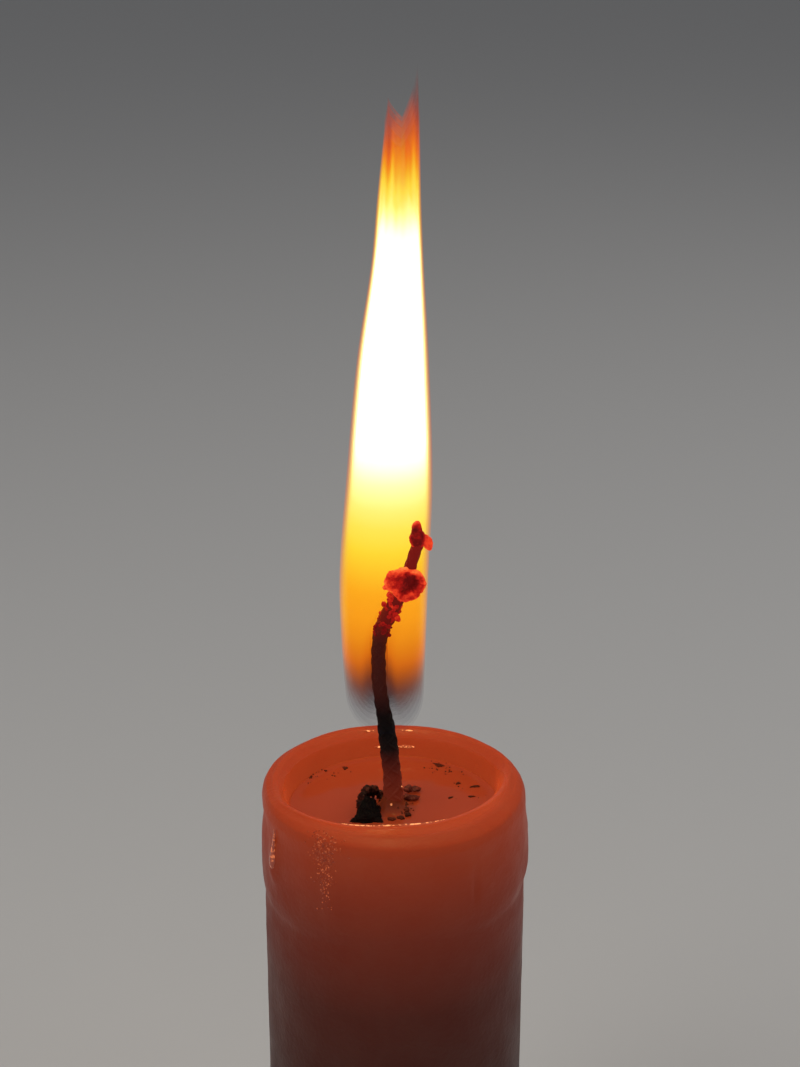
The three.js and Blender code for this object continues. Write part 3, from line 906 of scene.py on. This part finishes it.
# The lump is a dense black wedge at the front, given by the corners of its foot and its top, with
# a crumbling brown arch behind it, given by lobes as [x, y, z, half sizes].
WEDGE_FLOOR = -2.05
WEDGE_FOOT = [(x, y, WEDGE_FLOOR) for x, y in (
    (-4.30, -2.60), (-2.40, -2.95), (-0.70, -2.75), (-1.20, -1.60), (-1.55, -0.80),
    (-2.85, -0.70), (-3.55, -1.60))]
WEDGE_TOP = [
    (-3.20, -2.40, -1.35), (-2.30, -2.55, -1.15), (-1.45, -2.35, -1.40), (-1.50, -1.50, -0.75),
    (-1.75, -0.95, -0.30), (-2.50, -0.90, -0.15), (-2.95, -1.50, -0.75),
]
ARCH_LOBES = [
    (-2.80, -0.45, -1.35, 0.36, 0.60, 0.46), (-2.90, 0.45, -1.25, 0.33, 0.50, 0.50),
    (-2.45, 1.15, -1.05, 0.42, 0.45, 0.46), (-1.90, 1.50, -1.00, 0.42, 0.40, 0.46),
    (-1.30, 1.35, -1.20, 0.34, 0.40, 0.46), (-1.95, 0.10, -1.62, 0.50, 0.70, 0.22),
    (-1.30, -0.40, -1.60, 0.36, 0.80, 0.22), (-2.35, 0.35, -1.30, 0.24, 0.30, 0.36),
    (-1.05, 0.55, -1.40, 0.25, 0.50, 0.34), (-2.75, 0.05, -0.70, 0.30, 0.40, 0.36),
    (-2.35, 0.75, -0.45, 0.34, 0.36, 0.34), (-1.80, 1.05, -0.55, 0.32, 0.32, 0.34),
]


def block(foot, top):
    """A solid block between two outlines that have the same number of corners."""
    return foot + top, capped_rings(2, len(foot))


for name, shapes, finish, grit in (
        ("char_wedge", [block(WEDGE_FOOT, WEDGE_TOP)], BLACK_CHAR, 0.12),
        ("char_arch", [ball(lobe[:3], lobe[3:]) for lobe in ARCH_LOBES], BROWN_CHAR, 0.20)):
    lump = crusty(name, shapes, finish, voxel=0.06, grit=grit, grain=2.4, pitting=6.0)
    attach(lump, "root")
    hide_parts("char_lump")

# Petals of soaked char that reach out from the foot: [frame name, x, y, z, half sizes].
FINS = [
    ("char_fin_front", 1.45, 1.35, -1.55, 0.72, 0.42, 0.20),
    ("char_fin_back", 1.58, 2.8, -1.5, 0.66, 0.36, 0.18),
]
for name, x, y, z, *half in FINS:
    fin = crusty(name + "_petal", [
        ball((x, y, z), half), ball((x - 0.4, y - 0.1, z + 0.1), (0.4, 0.35, 0.3)),
        ball((x + 0.35, y + 0.15, z - 0.05), (0.4, 0.3, 0.18))],
        SOAKED_CHAR, voxel=0.05, grit=0.09, grain=2.6)
    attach(fin, "root")
    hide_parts(name)

crumb = crusty("loose_crumb", [
    ball((1.02, -0.75, -1.6), (0.30, 0.30, 0.24)), ball((1.15, -1.45, -1.66), (0.26, 0.30, 0.2)),
    ball((0.9, -0.1, -1.5), (0.22, 0.35, 0.26)), ball((0.55, -1.9, -1.7), (0.3, 0.24, 0.16)),
    ball((-0.2, -2.15, -1.7), (0.4, 0.22, 0.14))],
    SOOT, voxel=0.045, grit=0.10, grain=3.0)
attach(crumb, "root")
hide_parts("char_crumb")

# Flakes as they float: [x, y, half length, half width, degrees turned].
FLAKES = [
    (3.95, 7.7, 0.62, 0.26, -32), (-4.45, 7.2, 0.24, 0.30, 10), (5.6, 4.4, 0.30, 0.20, 50),
    (7.1, 3.8, 0.52, 0.20, 8), (6.7, 2.0, 0.34, 0.14, 5), (4.9, 1.8, 0.24, 0.12, 20),
    (-7.4, 5.2, 0.16, 0.10, 60), (-6.2, 6.4, 0.20, 0.09, -15),
]
FLAKE_POINTS = 30
FLAKE_THICKNESS = 0.07
FLAKE_SINK = 0.02
for number, (x, y, half_length, half_width, degrees) in enumerate(FLAKES, 1):
    share = math.hypot(x, y) / pool_wall(math.atan2(y, x))
    top = pool_height(x, y, share) + FLAKE_THICKNESS
    phase = luck.uniform(0, 6)
    lean = math.radians(degrees)
    edge = []
    for turn in turns(FLAKE_POINTS):
        reach = 0.8 + 0.2 * math.sin(3 * turn + phase) + 0.14 * math.sin(7 * turn + 2 * phase)
        long, wide = half_length * reach * math.cos(turn), half_width * reach * math.sin(turn)
        edge.append((x + long * math.cos(lean) - wide * math.sin(lean),
                     y + long * math.sin(lean) + wide * math.cos(lean)))
    points = [(px, py, top - FLAKE_SINK - FLAKE_THICKNESS) for px, py in edge]
    points += [(px, py, top - FLAKE_SINK) for px, py in edge]
    points += [(x + (px - x) * 0.5, y + (py - y) * 0.5, top + luck.uniform(0.0, 0.04))
               for px, py in edge]
    flake = new_piece("floating_flake_%d" % number, points, capped_rings(3, FLAKE_POINTS), SOOT)
    outward(flake)
    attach(flake, "root")
    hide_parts("soot_flake_%d" % number)


def scatter_tree():
    """Small round grains scattered over a surface where its grain_mask is set."""
    tree, inside = geometry_tree("scatter", "Surface", "Grains", [
        ("Density", "Float"), ("Grain Size", "Float"), ("Seed", "Int")])
    mask = node(tree, "GeometryNodeInputNamedAttribute", {"Name": "grain_mask"},
                data_type="FLOAT").outputs[0]
    dense = node(tree, "ShaderNodeMath", {0: mask, 1: inside["Density"]}, operation="MULTIPLY")
    points = node(tree, "GeometryNodeDistributePointsOnFaces", {
        "Mesh": inside["Surface"], "Density": dense.outputs[0], "Seed": inside["Seed"]})
    grain = node(tree, "GeometryNodeMeshIcoSphere", {
        "Radius": inside["Grain Size"], "Subdivisions": 2})
    size = node(tree, "FunctionNodeRandomValue", {2: 0.45, 3: 1.25, "Seed": inside["Seed"]},
                data_type="FLOAT")
    copies = node(tree, "GeometryNodeInstanceOnPoints", {
        "Points": points.outputs["Points"], "Instance": grain.outputs["Mesh"],
        "Rotation": points.outputs["Rotation"], "Scale": size.outputs[1]})
    end_tree(tree, copies.outputs[0], inside["Finish"])
    return tree


SCATTER = scatter_tree()


def grains_on(name, surface, mask_at, **inputs):
    """Scatters grains on a piece, as dense at each point as mask_at says (0 to 1)."""
    mask = surface.data.attributes.new("grain_mask", "FLOAT", "POINT")
    for corner, value in zip(surface.data.vertices, mask.data):
        spot = corner.co
        value.value = mask_at(spot.x / MM, spot.y / MM, (spot.z - SHOULDER) / MM)
    piece = grown(name, surface, SCATTER, **inputs)
    surface.data.attributes.remove(surface.data.attributes["grain_mask"])
    return piece


# Patches of fine soot on the liquid: [x, y, spread across, spread back, strength].
SOOT_PATCHES = [
    (4.1, 7.3, 0.9, 0.8, 1.0), (4.9, 6.3, 0.9, 0.6, 0.6), (5.6, 4.4, 0.5, 0.5, 0.5),
    (6.8, 3.8, 0.8, 0.35, 0.8), (5.0, 1.8, 0.4, 0.3, 0.4), (6.6, 2.0, 0.7, 0.4, 0.5),
    (-4.4, 6.9, 0.5, 0.7, 0.7), (-7.4, 5.2, 1.0, 0.8, 0.7), (-6.0, 6.4, 1.6, 0.3, 0.8),
    (0.95, -1.2, 0.35, 0.7, 1.0), (1.5, 0.3, 0.3, 1.1, 0.8), (-1.0, -1.9, 0.9, 0.4, 0.8),
    (-2.2, -0.2, 0.6, 1.4, 0.6),
]


def soot_mask(x, y, z):
    if z < POOL_LEVEL - 0.1:
        return 0.0
    return min(1.0, sum(power * bell(x, px, sx) * bell(y, py, sy)
                        for px, py, sx, sy, power in SOOT_PATCHES))


fine_soot = grains_on("fine_soot", pool, soot_mask, Density=7.0e6, Grain_Size=0.00007, Seed=8,
                      Finish=SOOT)
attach(fine_soot, "root")

# ------------------------------------------------------------------------------------------
# Frosted run and drip. Wax that spilled over the front left of the rim set as a field of fine
# glassy beads; further left one drop ran down the collar and froze. Their sparkle is painted
# glints: specks of the wax glow.


# Glassy wax whose specks glow, as painted glints of the flame's light.
def glassy_wax_material(name, dark, light, painted_glint):
    made, tree, shader = material(name, 0.10, Coat_Weight=0.8, Emission_Strength=1.0)
    speckle_and_glint = speckle(tree, 3000.0)
    feed(shader, Base_Color=ramp(tree, speckle_and_glint, [(0.35, dark), (0.7, light)]),
         Emission_Color=ramp(tree, speckle_and_glint, [(0.48, (0.090, 0.009, 0.002)), (0.60, painted_glint)]))
    return made


FROST_REACH, FROST_FOOT = 10.2, -6.5  # it starts this far out and ends at this height
FROST_BEARING, FROST_DRIFT = -121, 0.35  # in degrees round, and degrees for each millimetre down
TAIL_TOP, TAIL_WIDTH = -4.5, 2.3


def frost_mask(x, y, z):
    """A run that narrows as it goes down, with a thin tail, and drifts a little sideways."""
    if math.hypot(x, y) < FROST_REACH or z < FROST_FOOT:
        return 0.0
    off_middle = angle_gap(math.degrees(math.atan2(y, x)), FROST_BEARING - FROST_DRIFT * z)
    width = 5.0 + 0.6 * z if z > TAIL_TOP else TAIL_WIDTH
    return bell(off_middle, 0, width) * ease(-7.0, -1.0, z) * (1 - ease(0.3, 1.0, z))


frost = grains_on("frosted_run", wax_body, frost_mask, Density=4.5e7, Grain_Size=0.00007,
                  Seed=4, Finish=glassy_wax_material(
                      "frosted_wax", (0.160, 0.024, 0.010), (0.420, 0.090, 0.032),
                      (0.240, 0.045, 0.013)))
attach(frost, "root")

DRIP_TURN = math.radians(-150)
# The drop from top to bottom: [height, half width, how proud its middle stands].
DRIP_STOPS = [(-0.6, 0.05, 0.02), (-1.6, 0.16, 0.10), (-2.6, 0.24, 0.18), (-3.4, 0.40, 0.34),
              (-4.0, 0.36, 0.30), (-4.4, 0.05, 0.05)]
DRIP_SIDES = 24
DRIP_OUTLINE = 11.45  # the outline radius that it clings to
DRIP_SINK = 0.06
drip_points = []
for height, half_width, proud in DRIP_STOPS:
    for turn in turns(DRIP_SIDES):
        out = shape_wax(DRIP_OUTLINE, height, DRIP_TURN)[0] - DRIP_SINK + proud * math.cos(turn)
        around = DRIP_TURN + half_width * math.sin(turn) / out
        drip_points.append((out * math.cos(around), out * math.sin(around), height))
drip = new_piece(
    "frozen_drip", drip_points, capped_rings(len(DRIP_STOPS), DRIP_SIDES), glassy_wax_material(
        "drip_wax", (0.220, 0.034, 0.012), (0.400, 0.080, 0.028), (0.480, 0.120, 0.036)))
rounded = drip.modifiers.new("rounded", "SUBSURF")
rounded.levels = rounded.render_levels = 2
drip.data = applied(drip)
drip.modifiers.remove(rounded)
outward(drip)
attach(drip, "root")

# ------------------------------------------------------------------------------------------
# Wet lip. A thread of liquid wax that clings to the front edge of the cup, short ones on the back
# wall and small drops at the wick's foot. They glow with a painted reflection of the flame.

THREAD_STEPS = 120
THREAD_SIDES = 10
LIP_EDGE, LIP_LEVEL = 9.86, 0.80
BACK_WALL, FRONT_WALL = 9.28, 9.35  # outline radii of the cup's wall under the lip
# The threads carry painted reflections of the flame.
# Each thread: from and to in degrees round, size, outline radius and height it lies on.
GLINT_THREADS = [
    (-122, -56, 0.105, LIP_EDGE, LIP_LEVEL), (79, 88.5, 0.14, BACK_WALL, -0.55),
    (97.5, 101.5, 0.08, BACK_WALL, -0.60), (80.5, 86.5, 0.07, LIP_EDGE, LIP_LEVEL),
    (101, 107, 0.08, LIP_EDGE, LIP_LEVEL), (-65, -61, 0.09, FRONT_WALL, -0.4),
]


def wet_thread(low, high, size, edge, height, seed):
    """A thread that thins out to nothing at both ends, as points and faces."""
    points = []
    for step in range(THREAD_STEPS + 1):
        t = step / THREAD_STEPS
        turn = math.radians(low + (high - low) * t)
        uneven = 1 + 0.25 * noise.noise(Vector((t * 14, seed, 0)))
        thick = size * (0.06 + max(0.0, math.sin(math.pi * t)) ** 0.6) * uneven
        radius, level_here = shape_wax(edge, height, turn)
        outwards = Vector((math.cos(turn), math.sin(turn), 0))
        middle = outwards * radius + Vector((0, 0, level_here))
        for around in turns(THREAD_SIDES):
            way = outwards * math.cos(around) + Vector((0, 0, math.sin(around)))
            points.append(tuple(middle + way * thick))
    return points, capped_rings(THREAD_STEPS + 1, THREAD_SIDES)


# Drops where the liquid stands against the wick's foot, glowing as painted highlights.
FOOT_GLINT_DROPS = [ball((-0.27, -0.98, -0.93), (0.13, 0.12, 0.11)),
              ball((0.60, -0.30, 0.40), (0.08, 0.08, 0.08))]
threads = [wet_thread(*stretch, seed) for seed, stretch in enumerate(GLINT_THREADS)]
thread = new_piece("wet_lip", *joined(threads + FOOT_GLINT_DROPS), glassy_wax_material(
    "wet_wax", (0.320, 0.060, 0.018), (0.620, 0.180, 0.070), (1.000, 0.420, 0.150)))
outward(thread)
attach(thread, "root")

# ------------------------------------------------------------------------------------------
# Flame. Burning wax vapour, as closed skins one inside another: white in the middle, yellow and
# orange at its edges, two-pointed at the top, and thin, brown and bluish round the wick.

# The flame's outline as [height, middle, half width].
FLAME_STOPS = [
    (5.0, -0.6, 2.95), (8.5, -0.8, 3.08), (14.0, -0.9, 3.32), (20.0, -0.85, 3.45),
    (28.0, -0.4, 3.3), (38.0, -0.1, 2.7), (46.0, 0.28, 1.92), (51.0, 0.4, 1.6),
    (56.5, 0.64, 1.26),
]
FLAME_BACK = 0.4  # the flame stands slightly behind the wick's root
FLAME_DEPTH = 0.92  # front to back over side to side
FLAME_FOOT = 5.2
FOOT_LENGTH = 3.8
FOOT_LIFT = 2.6  # how much higher the innermost skin starts
NEST_BACK = 3.0  # low down, inner skins stand back, so that the wick shows in front of them
NOTCH = 57.0  # height of the saddle between the two points
NOTCH_DROP = 4.5  # how much lower it is in the innermost skin
RIGHT_TIP, LEFT_TIP = (1.84, 62.0), (-0.44, 58.8)
TIP_FALLS = (1.7, 1.5)  # how fast each point narrows
DOME_TOP, DOME_DROP, DOME_LENGTH = 55.2, 4.6, 4.5  # the inner skins end in a dome instead
# Skins: [share of the width, inwardness from 0 to 1, whether it has the two points].
SKINS = [
    (1.06, 0.0, True), (1.025, 0.08, True), (0.99, 0.18, True), (0.95, 0.36, True),
    (0.91, 0.52, True), (0.87, 0.65, False), (0.82, 0.78, False), (0.74, 0.88, False),
    (0.62, 1.0, False), (0.46, 1.0, False),
]
FLAME_SIDES = 72
FLAME_RINGS = 80
PRONG_RINGS = 16
SADDLE_POINTS = 9
WICK_CLEARANCE = 0.25  # how far behind the wick a skin is drawn back


def stop_at(stops, height, column):
    """Reads a column of stops at a height, on a smooth curve through them."""
    if height <= stops[0][0]:
        return stops[0][column]
    if height >= stops[-1][0]:
        return stops[-1][column]
    i = 0
    while height > stops[i + 1][0]:
        i += 1
    low, high = stops[i], stops[i + 1]
    span = high[0] - low[0]
    t = (height - low[0]) / span

    def slope(k):
        before, after = stops[max(0, k - 1)], stops[min(len(stops) - 1, k + 1)]
        return (after[column] - before[column]) / (after[0] - before[0])

    return bend(low[column], slope(i) * span, high[column], slope(i + 1) * span, t)


def rounded_end(distance, length):
    """Half width near a closed end, as a share: 0 at the end, 1 a length away."""
    share = min(1.0, max(0.0, distance / length))
    return math.sqrt(share * (2 - share))


def wick_at(height):
    """The wick's middle at a height."""
    for low, high in zip(route, route[1:]):
        if low.z <= height < high.z:
            return low.lerp(high, (height - low.z) / (high.z - low.z))
    return route[-1]


def behind_wick(x, y, height):
    """Draws the front of a skin back beside the wick, so that the wick shows dark against it."""
    wick = wick_at(height)
    beside = 1 - ease(0.7, 1.6, abs(x - wick.x))
    near = beside * ease(5.4, 7.4, height) * (1 - ease(24.5, 29.0, height))
    goal = wick.y + wick_radius(height) + WICK_CLEARANCE
    return y + max(0.0, goal - y) * near


def flame_skin(share, inwardness, pronged):
    """One closed skin of the flame, as points and faces."""
    foot = FLAME_FOOT + FOOT_LIFT * inwardness
    top = NOTCH - NOTCH_DROP * inwardness if pronged else DOME_TOP - DOME_DROP * inwardness
    points = []
    for ring in range(FLAME_RINGS):
        height = foot + (top - foot) * ring / (FLAME_RINGS - 1)
        half = stop_at(FLAME_STOPS, height, 2) * share * rounded_end(height - foot, FOOT_LENGTH)
        if not pronged:
            half *= rounded_end(top - height, DOME_LENGTH)
        lean = (1 - share) * NEST_BACK * (1 - ease(20, 30, height)) * FLAME_DEPTH
        middle = stop_at(FLAME_STOPS, height, 1)
        for turn in turns(FLAME_SIDES):
            x = middle + half * math.cos(turn)
            y = FLAME_BACK + lean + half * FLAME_DEPTH * math.sin(turn)
            points.append((x, behind_wick(x, y, height), height))
    faces = ring_faces(FLAME_RINGS, FLAME_SIDES)
    if not pronged:
        return points, faces
    # The top ring is bridged from front to back by a saddle, and each side runs up to its tip.
    start = (FLAME_RINGS - 1) * FLAME_SIDES
    back, front = start + FLAME_SIDES // 4, start + 3 * FLAME_SIDES // 4
    saddle = []
    for k in range(1, SADDLE_POINTS + 1):
        t = k / (SADDLE_POINTS + 1)
        y = points[back][1] + (points[front][1] - points[back][1]) * t
        saddle.append(len(points))
        points.append((points[back][0], y, top + 0.25 * math.sin(math.pi * t)))
    right_loop = list(range(front, start + FLAME_SIDES)) + list(range(start, back + 1)) + saddle
    left_loop = list(range(back, front + 1)) + saddle[::-1]
    for loop, tip, fall in ((right_loop, RIGHT_TIP, TIP_FALLS[0]),
                            (left_loop, LEFT_TIP, TIP_FALLS[1])):
        tip_height = top + (tip[1] - NOTCH) * (1 - 0.5 * inwardness)
        base = [points[i] for i in loop]
        below = loop
        for ring in range(1, PRONG_RINGS + 1):
            t = ring / PRONG_RINGS
            scale = (1 - t) ** fall
            above = list(range(len(points), len(points) + len(loop)))
            points += [(tip[0] + (x - tip[0]) * scale, FLAME_BACK + (y - FLAME_BACK) * scale,
                        top + (z - top) * (1 - t) + (tip_height - top) * t) for x, y, z in base]
            for k in range(len(loop)):
                n = (k + 1) % len(loop)
                faces.append((below[k], below[n], above[n], above[k]))
            below = above
    return points, faces


def srgb(red, green, blue, gain=1.0):
    """A colour as a shader wants it, from 0 to 255 values."""
    return tuple(gain * (((c / 255 + 0.055) / 1.055) ** 2.4 if c > 10 else c / 255 / 12.92)
                 for c in (red, green, blue))


FLAME_LOW, FLAME_HIGH = 5.0, 62.0
FLAME_GAIN = 3.0  # the white of the flame is this much brighter than white paper
EVEN = 1 / FLAME_GAIN
# Colours up the flame as [height, red, green, blue, gain], from its core to its edge.
CORE_COLOURS = [
    (5.0, 14, 9, 9, EVEN), (8.5, 50, 24, 16, EVEN), (10.4, 96, 36, 15, EVEN),
    (12.4, 152, 54, 12, EVEN), (15.2, 218, 88, 5, EVEN), (17.0, 240, 118, 12, EVEN),
    (19.0, 254, 156, 20, EVEN), (20.8, 255, 204, 40, EVEN), (22.7, 255, 242, 60, EVEN),
    (24.6, 255, 250, 84, EVEN), (26.3, 255, 255, 140, 0.36), (28.5, 255, 255, 205, 0.5),
    (31.5, 255, 255, 240, 1.0), (47.0, 255, 255, 240, 1.0), (48.7, 255, 255, 235, 0.8),
    (49.9, 255, 255, 196, 0.5), (51.1, 255, 255, 136, EVEN), (52.3, 255, 244, 74, EVEN),
    (53.5, 253, 178, 28, EVEN), (54.4, 248, 122, 8, EVEN), (55.2, 216, 78, 4, EVEN),
    (56.0, 160, 44, 6, EVEN), (62.0, 90, 20, 6, EVEN),
]
MIDDLE_COLOURS = [
    (5.0, 20, 20, 34, EVEN), (8.5, 60, 34, 30, EVEN), (10.4, 140, 58, 20, EVEN),
    (12.4, 236, 112, 16, EVEN), (15.2, 255, 184, 36, EVEN), (19.0, 255, 204, 46, EVEN),
    (22.7, 255, 248, 70, 0.36), (28.0, 255, 252, 130, 0.6), (31.5, 255, 253, 150, 0.9),
    (46.0, 255, 253, 150, 0.9), (50.0, 255, 252, 96, 0.55), (52.3, 255, 242, 66, 0.38),
    (53.5, 255, 190, 36, EVEN), (54.4, 252, 140, 16, EVEN), (55.2, 244, 108, 10, EVEN),
    (57.0, 196, 66, 10, EVEN), (62.0, 110, 26, 8, EVEN),
]
EDGE_COLOURS = [
    (5.0, 18, 24, 56, EVEN), (8.0, 30, 34, 70, EVEN), (10.5, 120, 58, 34, EVEN),
    (13.0, 236, 124, 24, EVEN), (17.0, 255, 160, 28, EVEN), (22.0, 255, 152, 22, EVEN),
    (30.0, 244, 112, 10, EVEN), (46.0, 246, 116, 8, EVEN), (52.0, 255, 150, 16, EVEN),
    (55.2, 246, 104, 8, EVEN), (57.0, 210, 70, 10, EVEN), (59.0, 150, 38, 8, EVEN),
    (62.0, 90, 20, 8, EVEN),
]
# How solid each skin is up the flame, inside and at the edge.
CORE_SOLIDITY = [
    (5.0, 0.0), (7.0, 0.07), (8.5, 0.16), (10.4, 0.27), (12.4, 0.38), (15.2, 0.55),
    (17.5, 0.72), (20.0, 0.9), (24.0, 1.0), (50.5, 1.0), (53.0, 0.75), (55.2, 0.35),
    (57.0, 0.14), (62.0, 0.0),
]
EDGE_SOLIDITY = [
    (5.0, 0.0), (6.4, 0.04), (8.5, 0.07), (10.5, 0.15), (13.5, 0.26), (17.0, 0.25),
    (22.0, 0.20), (30.0, 0.15), (50.0, 0.16), (54.0, 0.20), (56.0, 0.16), (58.0, 0.12),
    (60.0, 0.07), (62.0, 0.0),
]
STREAK_STRETCH = (1500.0, 1500.0, 45.0)  # long thin wisps near the top
STREAK_SHIFT = 0.035


def flame_material():
    made, tree, shader = material(
        "burning_vapour", 1.0, Base_Color=(0, 0, 0, 1), Specular_IOR_Level=0.0,
        Emission_Strength=FLAME_GAIN)
    even = height_share(tree, FLAME_LOW, FLAME_HIGH)
    inward = node(tree, "ShaderNodeAttribute", attribute_name="inward").outputs["Fac"]
    drawn_out = node(tree, "ShaderNodeVectorMath", {0: in_place(tree), 1: STREAK_STRETCH},
                     operation="MULTIPLY").outputs[0]
    wisp = node(tree, "ShaderNodeTexNoise", {"Vector": drawn_out, "Scale": 1.0, "Detail": 1.0})
    shift = share_of(tree, wisp.outputs["Fac"], 0.3, 0.7, -STREAK_SHIFT, STREAK_SHIFT)
    near_top = share_of(tree, even, 0.72, 0.92)
    share = node(tree, "ShaderNodeMath", {0: shift, 1: near_top, 2: even},
                 operation="MULTIPLY_ADD").outputs[0]

    def up_the_flame(stops):
        return ramp(tree, share, [((height - FLAME_LOW) / (FLAME_HIGH - FLAME_LOW), colour)
                                  for height, colour in stops])

    def colours(stops):
        return up_the_flame([(height, srgb(*colour)) for height, *colour in stops])

    def solidity(stops):
        return up_the_flame([(height, (solid, solid, solid)) for height, solid in stops])

    fringe = mix(tree, share_of(tree, inward, 0.0, 0.3), colours(EDGE_COLOURS),
                 colours(MIDDLE_COLOURS))
    deep = node(tree, "ShaderNodeMath", {0: inward, 1: 1.8}, operation="POWER").outputs[0]
    feed(shader,
         Emission_Color=mix(tree, share_of(tree, inward, 0.25, 0.6), fringe, colours(CORE_COLOURS)),
         Alpha=mix(tree, deep, solidity(EDGE_SOLIDITY), solidity(CORE_SOLIDITY)))
    return made


skins = [flame_skin(*skin) for skin in SKINS]
flame = new_piece("flame_glow", *joined(skins), flame_material())
inward_values = [skin[1] for skin, (points, _) in zip(SKINS, skins) for _ in points]
flame.data.attributes.new("inward", "FLOAT", "POINT").data.foreach_set("value", inward_values)
outward(flame)
flame.visible_shadow = False
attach(flame, "root")
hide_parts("flame")

glow = add_object("flame_light", bpy.data.lights.new("flame_light", "POINT"))
glow.data.energy = 0.02
glow.data.color = (1.0, 0.62, 0.25)
glow.data.shadow_soft_size = 0.003
glow.location = (0, FLAME_BACK * MM, level(30))
